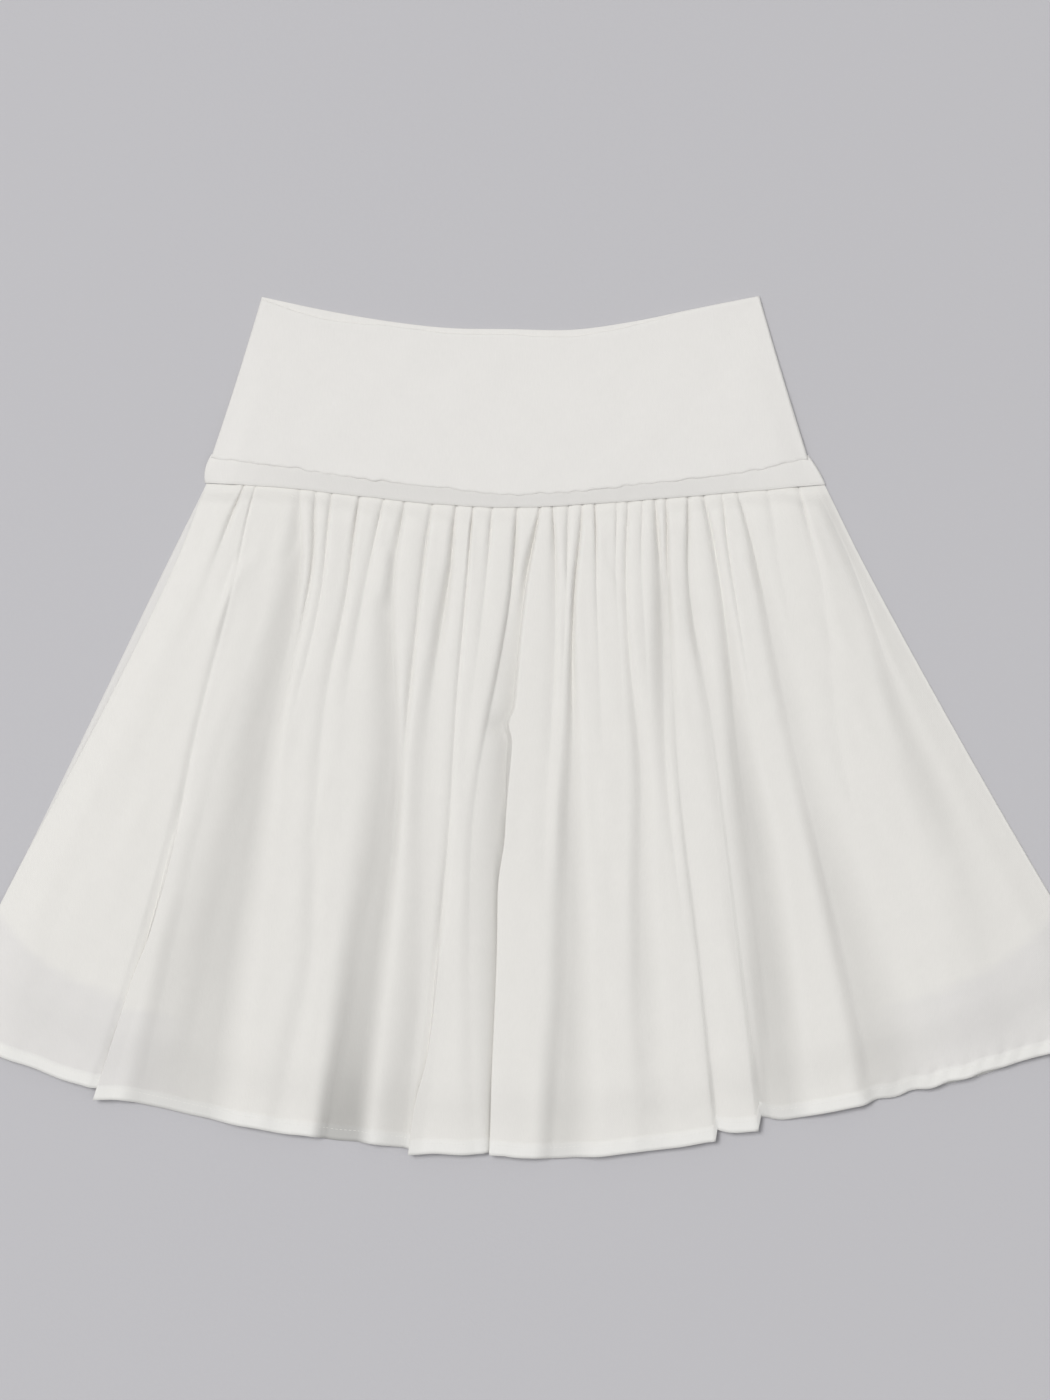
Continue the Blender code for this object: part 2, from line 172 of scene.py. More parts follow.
FOLDS = (
    Fold((-198, -221, -263, -320, -349), (2.8, 1.2, 0.6, 0.5, 0.8), (2, 12, 25, 30), (2, 12, 28, 40)),
    Fold((-190, -204, -232, -258, -298), (1.8, 0.7, 1.1, 2.8, 3.2), CRISP, CRISP),
    Fold((-170, -180, -213, -241, -270), (0.0, 0.0, 0.8, 2.4, 3.8), SOFT, (8, 10, 26, 30)),
    Fold((-160, -161, -186, -210, -235), (1.6, 3.4, 5.2, 5.2, 4.8), (5, 24, 28, 32), (2, 8, 22, 26), 10.0),
    Fold((-149, -154, -178, -201, -226), (3.2, 3.2, 0.4, 0.0, 0.0), (2, 4, 8, 8), CRISP),
    Fold((-138, -145, -170, -193, -216), (3.0, 1.4, 0.0, 0.0, 0.0), CRISP, CRISP),
    Fold((-119, -128, -147, -152, -178), (4.2, 2.2, 0.9, 1.4, 1.2), (2, 7, 12, 14), (2, 5, 8, 14)),
    Fold((-102, -116, -134, -141, -160), (3.2, 1.8, 0.0, 0.0, 0.0), (2, 8, 8, 8), (2, 8, 8, 8)),
    Fold((-88, -96, -96, -112, -133), (3.8, 3.2, 4.6, 6.0, 6.8), (2, 18, 22, 11), (2, 4, 12, 16), 9.0, 2.3),
    Fold((-69, -78, -90, -104, -116), (3.0, 3.2, 2.0, 0.0, 0.0), (2, 5, 8, 10), (2, 4, 8, 8)),
    Fold((-53, -60, -75, -77, -89), (4.2, 4.4, 2.2, 3.0, 5.4), (2, 10, 18, 30), (2, 7, 16, 6), 0.0, 1.2),
    Fold((-41, -47, -56, -65, -82), (3.8, 1.6, 1.4, 2.6, 3.4), CRISP, CRISP),
    Fold((-28, -34, -48, -56, -65), (3.2, 1.0, 0.0, 0.0, 0.0), (2, 6, 8, 8), (2, 6, 8, 8)),
    Fold((-11, -16, -38, -43, -40), (4.4, 4.0, 1.6, 1.4, 1.0), (2, 4, 8, 14), (2, 12, 20, 14)),
    Fold((5, -6, -18, -19.5, -25), (3.6, 4.6, 5.2, 5.6, 6.0), (2, 14, 24, 12), (2, 3, 3, 3)),
    Fold((13, 16, 10, 5, 0), (4.0, 2.2, 0.8, 0.0, 0.0), (2, 10, 12, 8), (2, 4, 8, 8)),
    Fold((24, 22, 17, 14, 10), (3.0, 0.8, 0.0, 0.0, 0.0), CRISP, CRISP),
    Fold((34, 28, 26, 25, 19), (3.4, 4.2, 4.6, 4.2, 5.0), (2, 4, 14, 16), (2, 5, 14, 26), 5.0),
    Fold((42, 44, 47, 48, 47), (3.8, 1.2, 0.0, 0.0, 0.0), CRISP, CRISP),
    Fold((57, 57, 63, 66, 72), (1.8, 0.4, 0.0, 0.0, 0.0), CRISP, CRISP),
    Fold((65, 63, 73, 75, 84), (3.0, 1.8, 2.6, 2.6, 1.2), (2, 5, 10, 16), (2, 5, 12, 18), 3.0),
    Fold((75, 74, 83, 91, 100), (1.6, 0.6, 0.0, 0.0, 0.0), CRISP, CRISP),
    Fold((83, 88, 91, 104, 118), (4.2, 5.4, 1.9, 0.0, 0.0), (2, 11, 5, 8), (2, 7, 4, 8)),
    Fold((91, 93, 98, 112, 126), (3.6, 4.0, 1.5, 1.4, 1.8), (2, 8, 4, 5), (2, 6, 11, 11)),
    Fold((106, 107, 125, 140, 156), (4.0, 3.2, 1.4, 1.3, 1.7), (2, 7, 10, 8), (2, 9, 12, 10)),
    Fold((116, 128, 142, 158, 170), (3.6, 3.4, 5.2, 5.8, 5.0), (2, 5, 14, 9), (2, 9, 18, 18), 8.0),
    Fold((129, 136, 156, 174, 188), (1.8, 1.2, 0.0, 0.0, 0.0), CRISP, CRISP),
    Fold((139, 156, 179, 210, 240), (2.2, 2.8, 2.6, 3.8, 4.8), (3, 9, 10, 14), (3, 12, 26, 44), 5.0),
    Fold((160, 170, 191, 222, 252), (1.4, 0.6, 0.0, 0.0, 0.0), (2, 8, 8, 8), (2, 8, 8, 8)),
    Fold((182, 196, 209, 235, 267), (2.8, 0.8, 0.6, 0.0, 0.0), (2, 8, 8, 8), (2, 8, 8, 8)),
    Fold((193, 220, 257, 300, 330), (0.0, 0.9, 4.0, 1.6, 1.2), (2, 8, 22, 40), (2, 4, 20, 40)),
)

LAPS = (
    Lap(1, 1, 6.0, 0.5, 0.0, -7.0),
    Lap(11, 1, 6.0, 0.62, 0.0, -4.0),
    Lap(14, 1, 8.0, 0.28, 4.5, 3.0, 1.0, 1.1),
    Lap(23, -1, 3.5, 0.42, -1.0, 7.0, 0.0),
    Lap(24, -1, 3.0, 0.7, -2.0, 8.5, 0.0),
)

FRONT_CREASES = (
    Crease(-231.0, 141.0, -226.0, 152.0, 1.0, 0.6, 2.0),
    Crease(-238.0, 128.0, -230.0, 137.0, 1.5, 0.6, 2.5),
    Crease(-194.0, 116.0, -220.0, 58.0, 2.5, -1.7, 5.0),
    Crease(-203.0, 118.0, -214.0, 88.0, 1.0, 0.9, 3.0),
    Crease(-160.0, 140.0, -170.0, 112.0, -1.5, 0.8, 4.0),
    Crease(-102.0, 122.0, -105.0, 85.0, -2.0, -2.0, 4.5),
    Crease(-108.0, 84.0, -98.0, 74.0, 0.5, 0.8, 3.0),
    Crease(-140.0, -27.0, -149.0, -90.0, 2.0, -0.8, 3.0),
    Crease(-56.0, 112.0, -66.0, 60.0, 1.0, 0.9, 4.0),
    Crease(-27.0, 2.0, -17.0, -6.0, 1.0, 0.9, 2.5),
    Crease(18.0, 118.0, 25.0, 76.0, -1.5, -1.0, 4.0),
    Crease(49.0, 128.0, 63.0, 92.0, 2.0, 0.8, 3.5),
    Crease(66.0, 84.0, 74.0, 40.0, 2.0, -0.8, 4.0),
    Crease(86.0, 112.0, 92.0, 92.0, -1.0, -1.2, 3.5),
    Crease(73.0, -220.0, 106.0, -250.0, 3.0, 1.0, 6.0),
    Crease(52.0, -236.0, 84.0, -258.0, 2.0, -0.6, 7.0),
    Crease(108.0, 84.0, 122.0, 40.0, 2.0, 0.9, 4.0),
    Crease(141.0, 124.0, 152.0, 96.0, 1.5, -0.8, 4.0),
    Crease(157.0, -151.0, 174.0, -182.0, 2.0, 1.3, 3.5),
    Crease(203.0, 151.0, 214.0, 134.0, -1.5, 0.8, 2.5),
    Crease(194.0, 96.0, 210.0, 52.0, 2.0, 0.7, 6.0),
    Crease(233.0, 88.0, 262.0, 18.0, 3.0, -1.0, 6.0),
    Crease(252.0, -20.0, 286.0, -96.0, 4.0, 1.0, 9.0),
    Crease(214.0, -238.0, 236.0, -262.0, 2.0, -1.2, 5.0),
)


def srgb(code: str) -> tuple[float, float, float, float]:
    """Turn an sRGB hex value into a linear colour.

    Args:
        code: Six hex digits.

    Returns:
        Linear red, green, blue and an alpha of 1.
    """
    channels = [int(code[i : i + 2], 16) / 255 for i in (0, 2, 4)]
    linear = [c / 12.92 if c <= 0.04045 else ((c + 0.055) / 1.055) ** 2.4 for c in channels]
    return (*linear, 1.0)


def mix(start: Any, end: Any, share: Any) -> Any:
    """Value between start and end."""
    return start + (end - start) * share


def smooth(share: Any) -> Any:
    """Ease from 0 to 1, flat at both ends."""
    share = np.clip(share, 0.0, 1.0)
    return share * share * (3.0 - 2.0 * share)


def ramp(place: Any, span: Span) -> Any:
    """Ease from 0 to 1 over a span, given as its start and its length."""
    return smooth((place - span[0]) / span[1])


def through(knots: tuple[float, ...], values: tuple[float, ...], place: Any) -> Array:
    """Read a smooth curve through values at the knots.

    Args:
        knots: Rising places of the values.
        values: One value for each knot.
        place: Where to read, a number or an array.

    Returns:
        The curve's values at place.
    """
    at = np.asarray(knots, float)
    level = np.asarray(values, float)
    place = np.clip(np.asarray(place, float), at[0], at[-1])
    left = np.clip(np.searchsorted(at, place, side="right") - 1, 0, len(at) - 2)
    before = np.maximum(np.arange(len(at)) - 1, 0)
    after = np.minimum(np.arange(len(at)) + 1, len(at) - 1)
    slope = (level[after] - level[before]) / (at[after] - at[before])
    span = at[left + 1] - at[left]
    t = (place - at[left]) / span
    start = (1 + 2 * t) * (1 - t) ** 2 * level[left] + t * (1 - t) ** 2 * span * slope[left]
    end = t * t * (3 - 2 * t) * level[left + 1] + t * t * (t - 1) * span * slope[left + 1]
    return start + end


def down(values: tuple[float, ...], v: Any) -> Array:
    """Value given at the stations, read at share v of the skirt's length."""
    return through(STATIONS, values, v)


def hem_tint(v: float, x: Array) -> Array:
    """How far the double cloth of the turned hem shows along a row."""
    return np.full(len(x), float(smooth((v - HEM_EDGE) / HEM_BLUR + 0.5)))


@lru_cache(maxsize=None)
def wave_set(seed: int, waves: int, spread: float) -> tuple[tuple[float, float, float], ...]:
    """Draw the waves of a seed.

    Args:
        seed: Fixes the draw.
        waves: Number of waves.
        spread: How far their lengths differ.

    Returns:
        Each wave's paces in two coordinates, and its phase.
    """
    draw = np.random.default_rng(seed)
    found = []
    for _ in range(waves):
        pace_a, pace_b = 2 * math.pi * draw.uniform(1 - spread, 1 + spread, 2)
        found.append((float(pace_a), float(pace_b * draw.choice((-1, 1))), float(draw.uniform(0, 6.28))))
    return tuple(found)


def ripple(seed: int, a: Any, b: Any, waves: int = 6, spread: float = 0.6) -> Array:
    """Smooth unevenness from a few waves in two coordinates.

    Args:
        seed: Fixes the waves.
        a: First coordinate, in wavelengths.
        b: Second coordinate, in wavelengths.
        waves: Number of waves.
        spread: How far the wavelengths differ.

    Returns:
        Values that stay roughly between -1 and 1.
    """
    total = 0.0
    for pace_a, pace_b, phase in wave_set(seed, waves, spread):
        total = total + np.sin(pace_a * a + pace_b * b + phase)
    return total / math.sqrt(2 * waves)


def graded(bands: Bands) -> list[float]:
    """Shares of a length, from the start, end and number of steps of each of its bands."""
    return [0.0] + [float(share) for start, end, steps in bands for share in np.linspace(start, end, steps + 1)[1:]]


def crease_height(creases: tuple[Crease, ...], x: Array, y: Array) -> Array:
    """Height that a table of creases takes away from a panel.

    Args:
        creases: The creases on this panel.
        x: Places across.
        y: Places along.

    Returns:
        Height to subtract, negative on a ridge.
    """
    total = np.zeros(np.broadcast(x, y).shape)
    for crease in creases:
        run = np.array((crease.x1 - crease.x0, crease.y1 - crease.y0))
        length = float(np.hypot(*run))
        along = ((x - crease.x0) * run[0] + (y - crease.y0) * run[1]) / length**2
        aside = ((x - crease.x0) * run[1] - (y - crease.y0) * run[0]) / length
        inside = np.clip(along, 0.0, 1.0)
        aside = aside - crease.bow * 4 * inside * (1 - inside)
        fade = smooth(along / 0.3 + 0.3) * smooth((1 - along) / 0.3 + 0.3)
        total = total + crease.deep * fade / (1 + (aside / crease.wide) ** 2) ** 1.5
    return total


class Outline:
    """The garment's outline as laid, shared by all its panels."""

    @staticmethod
    def edge(name: str, u: Any) -> Array:
        """Height of a named cross edge at u, from -1 at the left side to 1 at the right."""
        return through([row.share for row in ACROSS], [getattr(row, name) for row in ACROSS], u)

    @staticmethod
    def between(ends: Ends, u: Any) -> Any:
        """Place between two ends for u from -1 to 1."""
        return mix(ends.left, ends.right, (u + 1) / 2)

    @staticmethod
    def share_across(ends: Ends, x: Any) -> Any:
        """The u of a place between two ends."""
        return 2 * (x - ends.left) / (ends.right - ends.left) - 1

    @staticmethod
    def sides(v: Any, layer: Layer) -> Ends:
        """Left and right sides of a skirt panel at share v."""
        inset = down(FRONT_INSET_LEFT, v) if layer is Layer.FRONT else 0.0
        return Ends(down(SIDE_LEFT, v) + inset, down(SIDE_RIGHT, v))

    @staticmethod
    def from_side(ends: Ends, x: Any) -> Any:
        """Distance from the nearer side."""
        return np.minimum(x - ends.left, ends.right - x)

    @classmethod
    def panel_top(cls, x: Any, tuck: float = TUCK_BACK) -> Any:
        """Height of a skirt panel's upper edge, which runs under the band by tuck away from the ends."""
        under = mix(-GAP, tuck, ramp(cls.from_side(BAND_LOW, x), UNDER_BAND))
        return cls.edge("band_low", cls.share_across(BAND_LOW, x)) + under

    @classmethod
    def base_hem(cls, x: Any) -> Any:
        """Height of the hem's even curve."""
        return cls.edge("hem", cls.share_across(cls.sides(1.0, Layer.BACK), x))


def add_node(tree: Any, kind: str, settings: dict[str, Any], inputs: dict[Any, Any]) -> Any:
    """Add a node with its settings, input values and links.

    Args:
        tree: Node tree to add to.
        kind: Node type.
        settings: Properties of the node.
        inputs: Values, or output sockets to link, by input name or index.

    Returns:
        The new node.
    """
    node = tree.nodes.new(kind)
    for name, value in settings.items():
        setattr(node, name, value)
    for name, value in inputs.items():
        if isinstance(value, bpy.types.NodeSocket):
            tree.links.new(value, node.inputs[name])
        else:
            node.inputs[name].default_value = value
    return node


def math_node(tree: Any, operation: str, *values: Any) -> Any:
    """Add a Math node over numbers or sockets, and return its result."""
    return add_node(tree, "ShaderNodeMath", {"operation": operation}, dict(enumerate(values))).outputs[0]


def noise(tree: Any, place: Any, scale: float, detail: float = 2.0, rough: float = 0.5) -> Any:
    """Add a noise texture at a place, and return its strength."""
    inputs = {"Vector": place, "Scale": scale, "Detail": detail, "Roughness": rough}
    return add_node(tree, "ShaderNodeTexNoise", {}, inputs).outputs["Fac"]


def bump(tree: Any, height: Any, depth: float, over: Any = None) -> Any:
    """Add a bump of a depth in millimetres over another bump's normal, and return its normal."""
    inputs = {"Height": height, "Distance": depth * MM} | ({} if over is None else {"Normal": over})
    return add_node(tree, "ShaderNodeBump", {}, inputs).outputs["Normal"]


def blend(tree: Any, share: Any, first: Any, second: Any) -> Any:
    """Add a mix of two colours, and return its colour."""
    return add_node(tree, "ShaderNodeMix", {"data_type": "RGBA"}, {0: share, 6: first, 7: second}).outputs[2]


def tint_of(tree: Any, tint: Tint) -> Any:
    """Add a reader of one of the cloth's tints, and return its strength."""
    return add_node(tree, "ShaderNodeAttribute", {"attribute_name": tint.value}, {}).outputs["Fac"]


def new_material(name: str, roughness: float, specular: float) -> tuple[bpy.types.Material, Any, Any]:
    """Start a material.

    Args:
        name: What the real stuff is.
        roughness: Roughness of its surface.
        specular: Specular level of its surface.

    Returns:
        The material, its node tree and its shader.
    """
    made = bpy.data.materials.new(name)
    made.use_nodes = True
    shader = made.node_tree.nodes["Principled BSDF"]
    shader.inputs["Roughness"].default_value = roughness
    shader.inputs["Specular IOR Level"].default_value = specular
    return made, made.node_tree, shader


def new_object(name: str, data: Any) -> bpy.types.Object:
    """Put data into the scene as an object at the origin.

    Args:
        name: The object's name.
        data: Its mesh, light or camera.

    Returns:
        The object.
    """
    made = bpy.data.objects.new(name, data)
    bpy.context.scene.collection.objects.link(made)
    return made


@dataclass(frozen=True)
class WovenCotton:
    """Plain woven cotton, piece-dyed white and ironed matt.

    The weave's threads are 0.25 to 0.35 mm apart. They are drawn a little coarser here, so that they
    show as a fine even grain from a step away. Slubs are the thicker threads among them.
    """

    name: str
    cloth: str
    over_lining: str
    turned_hem: str
    thread_spacing: float = 0.55
    weave_depth: float = 0.035
    slub_depth: float = 0.05
    slub_stretch: tuple[float, float, float] = (1.1, 0.16, 1.0)
    slub_white: float = 0.06
    wave_depth: float = 0.22
    wave_length: float = 16.0
    wave_white: float = 0.03
    least_white: float = 0.955
    roughness: float = 0.88
    specular: float = 0.3
    sheen: float = 0.18
    # Painted shade: how much darker the colour is drawn where the shade tint is 1.
    valley_painted_shade: float = 0.18

    def material(self) -> bpy.types.Material:
        """Build the cloth's material.

        Returns:
            A material that reads the panel's own UV map, in millimetres, and its tints.
        """
        made, tree, shader = new_material(self.name, self.roughness, self.specular)
        uv = add_node(tree, "ShaderNodeUVMap", {"uv_map": "cloth"}, {}).outputs["UV"]
        threads = self._weave(tree, uv)
        stretched = add_node(tree, "ShaderNodeMapping", {}, {"Vector": uv, "Scale": self.slub_stretch})
        slubs = noise(tree, stretched.outputs["Vector"], 1.0, 3.0, 0.6)
        waves = noise(tree, uv, 1 / self.wave_length)
        soft = bump(tree, waves, self.wave_depth)
        woven = bump(tree, threads, self.weave_depth, bump(tree, slubs, self.slub_depth, soft))
        tree.links.new(self._colour(tree, waves, slubs), shader.inputs["Base Color"])
        tree.links.new(woven, shader.inputs["Normal"])
        shader.inputs["Sheen Weight"].default_value = self.sheen
        shader.inputs["Sheen Roughness"].default_value = 0.5
        return made

    def _weave(self, tree: Any, uv: Any) -> Any:
        """Height of warp over weft, as the product of two sine waves.

        Args:
            tree: The material's node tree.
            uv: Place on the cloth, in millimetres.

        Returns:
            The height's socket.
        """
        apart = add_node(tree, "ShaderNodeSeparateXYZ", {}, {"Vector": uv}).outputs
        pace = math.pi / self.thread_spacing
        warp, weft = (math_node(tree, "SINE", math_node(tree, "MULTIPLY", apart[a], pace)) for a in "XY")
        return math_node(tree, "MULTIPLY", warp, weft)

    def _colour(self, tree: Any, waves: Any, slubs: Any) -> Any:
        """Cloth colour: whiter over the lining and where the hem is double, with faint unevenness, and greyer by
        painted shade where the shade tint shows.

        Args:
            tree: The material's node tree.
            waves: Strength of the broad waves.
            slubs: Strength of the slubs.

        Returns:
            The colour's socket.
        """
        base = blend(tree, tint_of(tree, Tint.LINED), srgb(self.cloth), srgb(self.over_lining))
        double = blend(tree, tint_of(tree, Tint.HEM), base, srgb(self.turned_hem))
        uneven = math_node(tree, "MULTIPLY_ADD", slubs, self.slub_white, self.least_white)
        patchy = math_node(tree, "MULTIPLY_ADD", waves, self.wave_white, uneven)
        # Painted shade: the colour is darkened by the shade tint.
        kept = math_node(tree, "MULTIPLY_ADD", tint_of(tree, Tint.SHADE), -self.valley_painted_shade, 1.0)
        share = math_node(tree, "MULTIPLY", patchy, kept)
        shaded = add_node(tree, "ShaderNodeVectorMath", {"operation": "SCALE"}, {0: double, "Scale": share})
        return shaded.outputs[0]


@dataclass(frozen=True)
class SewingThread:
    """Spun polyester sewing thread, which is slightly smoother and brighter than the cotton."""

    name: str = "spun_polyester_thread"
    colour: str = "F0EEE9"
    between_fibres: str = "E4E2DC"
    twist: float = 0.5
    twist_depth: float = 0.05

    def material(self) -> bpy.types.Material:
        """Build the thread's material, with its twist as bump.

        Returns:
            A material that reads object coordinates.
        """
        made, tree, shader = new_material(self.name, 0.6, 0.5)
        place = add_node(tree, "ShaderNodeTexCoord", {}, {}).outputs["Object"]
        fibres = noise(tree, place, 1 / (self.twist * MM))
        shade = blend(tree, fibres, srgb(self.between_fibres), srgb(self.colour))
        tree.links.new(shade, shader.inputs["Base Color"])
        tree.links.new(bump(tree, fibres, self.twist_depth), shader.inputs["Normal"])
        return made


@dataclass(frozen=True)
class StudioPaper:
    """Plain pale background paper, matt."""

    name: str = "matt_background_paper"
    colour: str = "C4C3C6"
    tooth: float = 2.5
    tooth_depth: float = 0.1

    def material(self) -> bpy.types.Material:
        """Build the paper's material, with a faint uneven tooth.

        Returns:
            A material that reads object coordinates.
        """
        made, tree, shader = new_material(self.name, 0.95, 0.2)
        place = add_node(tree, "ShaderNodeTexCoord", {}, {}).outputs["Object"]
        grain = noise(tree, place, 1 / (self.tooth * MM))
        tree.links.new(bump(tree, grain, self.tooth_depth), shader.inputs["Normal"])
        shader.inputs["Base Color"].default_value = srgb(self.colour)
        return made


@dataclass(frozen=True)
class Cut:
    """Flat size that a piece was cut to, in metres: width, length, and area in square metres."""

    width: float
    length: float
    area: float


@dataclass
class ClothSheet:
    """A thin cloth shell lofted through rows of points, waist first."""

    name: str
    node: str
    finish: bpy.types.Material
    cut: Cut
    rests_on: tuple[str, ...]
    wall: float

    @property
    def slot(self) -> str:
        """Material slot of the part that the sheet belongs to."""
        return self.node.split("_")[0] + "_cloth"

    def build(self, points: Array, tints: Tints | None = None) -> Any:
        """Make the piece from its grid of points.

        Args:
            points: Rows by columns by 3, in millimetres.
            tints: How far each tint that the panel uses shows at each point, 0 to 1.

        Returns:
            The finished object, still to be declared.
        """
        rows, columns = points.shape[:2]
        corner = np.arange((rows - 1) * columns).reshape(rows - 1, columns)[:, :-1].ravel()
        faces = np.stack((corner, corner + columns, corner + columns + 1, corner + 1), axis=1)
        mesh = bpy.data.meshes.new(self.name)
        mesh.from_pydata((points.reshape(-1, 3) * MM).tolist(), [], faces.tolist())
        mesh.shade_smooth()
        self._lay_out(mesh, points)
        shown = tints or {}
        for tint in Tint:
            layer = mesh.attributes.new(tint.value, "FLOAT", "POINT")
            values = shown.get(tint, np.zeros((rows, columns)))
            layer.data.foreach_set("value", values.ravel().astype(np.float32))
        mesh.materials.append(self.finish)
        piece = new_object(self.name, mesh)
        solid = piece.modifiers.new("cloth", "SOLIDIFY")
        solid.thickness = self.wall * MM
        solid.offset = 0.0
        return piece

    @staticmethod
    def _lay_out(mesh: bpy.types.Mesh, points: Array) -> None:
        """Give the mesh a UV map in millimetres of cloth, measured across and down its grid.

        Args:
            mesh: Mesh of the grid.
            points: Rows by columns by 3.
        """
        across = np.linalg.norm(np.diff(points, axis=1), axis=2)
        across = np.concatenate((np.zeros((len(points), 1)), np.cumsum(across, axis=1)), axis=1)
        across -= across[:, -1:] / 2
        middle = points.shape[1] // 2
        length = np.linalg.norm(np.diff(points[:, middle], axis=0), axis=1)
        along = np.concatenate(([0.0], np.cumsum(length)))
        flat = np.stack((across, np.broadcast_to(-along[:, None], across.shape)), axis=2).reshape(-1, 2)
        corners = np.empty(len(mesh.loops), dtype=np.int64)
        mesh.loops.foreach_get("vertex_index", corners)
        layer = mesh.uv_layers.new(name="cloth")
        layer.data.foreach_set("uv", flat[corners].astype(np.float32).ravel())

    def declare(self, piece: Any) -> None:
        """Attach the piece to the body that it rides on, and hide the part that it stands for.

        Args:
            piece: The sheet's object.
        """
        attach(piece, BODY)
        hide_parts(self.node)


@dataclass
class SkirtFront:
    """The front of the skirt: gathers under the band that run out into large folds and laps.

    In its methods v is the share of the skirt's length, and places are those of the folds at v.
    """

    column_width: float = 2.7
    row_bands: Bands = (
        (0.0, 0.008, 2),
        (0.008, 0.12, 26),
        (0.12, 0.45, 36),
        (0.45, HEM_FOLD, 42),
        (HEM_FOLD, HEM_EDGE, 3),
        (HEM_EDGE, 1.0, 4),
    )
    band_edge: float = 0.008
    tuck: float = 3.0
    solid_wall: float = 1.0
    hem_wall: float = 1.3
    groove: float = 0.8
    wander: float = 0.7
    wander_grows: Span = (0.0, 0.12)
    wander_ends: Span = (0.9, 0.1)
    kinked: int = 14
    kink: tuple[float, float, float] = (3.5, 0.34, 0.016)
    uneven_depth: float = 0.12
    round_bottom: Span = (0.06, 0.4)
    round_walls: Span = (3.0, 10.0)
    lap_rises: float = 0.12
    lap_turns: Span = (0.1, 0.25)
    lap_half: float = 3.5
    lap_wall: float = 1.0
    step_wall: float = 2.4
    lap_slope: float = math.radians(60)
    lap_fade: float = 15.0
    bend_points: int = 9
    crest: tuple[float, ...] = (3.8, 5.2, 5.4, 6.0, 6.5)
    side_round: Span = (22.0, 60.0)
    side_round_grows: Span = (0.0, 0.45)
    side_bulge: float = 0.3
    side_drop: float = 0.6
    side_drop_width: float = 6.0
    hem_drop: float = 1.9
    hem_settles: Span = (0.88, 0.08)
    least_puff: float = 0.4
    puff_length: float = 0.03
    floor_round: float = 0.6
    # The fields from deepest to most_shade set the painted shade of valleys and lap openings.
    deepest: float = 6.0
    narrow_shade: float = 0.55
    broad_walls: Span = (6.0, 20.0)
    slot_width: float = 1.3
    slot_middle: Span = (0.5, 0.17)
    slot_low: Span = (0.84, 0.1)
    slot_low_gain: float = 1.4
    most_shade: float = 2.2
    crinkle: float = 0.25
    crinkle_grows: Span = (0.01, 0.05)
    lining_seen: tuple[float, float] = (300.0, 90.0)

    def places(self, v: float) -> list[float]:
        """Places of the folds across the front.

        Args:
            v: Share of the skirt's length.

        Returns:
            A place for each fold, with its own slight wander.
        """
        found = []
        far, middle, length = self.kink
        for index, fold in enumerate(FOLDS):
            wander = self.wander * ramp(v, self.wander_grows) * ripple(40 + index, 2.4 * v, 0.0, 4, 0.5)
            if index == self.kinked:
                wander -= far * math.exp(-(((v - middle) / length) ** 2))
            found.append(float(down(fold.places, v) + wander * (1 - ramp(v, self.wander_ends))))
        return found

    def risen(self, lap: Lap, v: float) -> float:
        """How far the upper side of a lap has risen over the lower one."""
        return float(smooth((v - lap.start) / self.lap_rises))

    def turned(self, lap: Lap, v: float) -> float:
        """How far the cloth of a lap has turned under."""
        return lap.turn * float(ramp(v - lap.start, self.lap_turns))

    def depth(self, index: int, v: float) -> float:
        """Depth of a fold at v, a little uneven along its length."""
        uneven = 1.0 + self.uneven_depth * ripple(70 + index, 3.0 * v, 0.0, 4, 0.5)
        return float(down(FOLDS[index].depths, v) * uneven)

    @staticmethod
    def wall_width(fold: Fold, v: float, away: Array) -> Array:
        """Width of the valley's wall on the side that each place lies."""
        left, right = (float(through(WALL_STATIONS, wall, v)) for wall in (fold.left, fold.right))
        return np.where(away > 0, right, left)

    def valley(self, fold: Fold, v: float, away: Array, side: Array) -> Array:
        """Share of a valley's depth at a place, steepest near its bottom, which is round in a wide one.

        Args:
            fold: The valley.
            v: Share of the skirt's length.
            away: Distance from its bottom.
            side: Width of its wall.

        Returns:
            1 at the bottom and 0 beyond the walls.
        """
        share = np.clip((np.abs(away) - fold.flat * v * v) / side, 0.0, 1.0)
        bend = mix(*self.round_bottom, ramp(side, self.round_walls))
        share = (np.sqrt(share**2 + bend**2) - bend) / (np.sqrt(1.0 + bend**2) - bend)
        return (1.0 - share) ** 2

    def height(self, v: float, x: Array, places: list[float]) -> Array:
        """Height of the front over its resting level.

        Args:
            v: Share of the skirt's length.
            x: Places across.
            places: Places of the folds at v.

        Returns:
            A crest less the valleys of the folds.
        """
        height = np.full(np.shape(x), float(down(self.crest, v)))
        laps = {lap.fold: lap for lap in LAPS}
        for index, fold in enumerate(FOLDS):
            away = x - places[index]
            side = self.wall_width(fold, v, away)
            if index in laps:
                lap = laps[index]
                narrow = mix(side, self.lap_wall if lap.turn else self.step_wall, self.risen(lap, v))
                side = np.where(away * lap.over > 0, narrow, side)
            height = height - self.depth(index, v) * self.valley(fold, v, away, side)
        puff = mix(self.least_puff, 1.0, smooth((v - self.band_edge) / self.puff_length))
        return (height + np.sqrt(height**2 + self.floor_round**2)) / 2 * puff * self.taper(v, x)

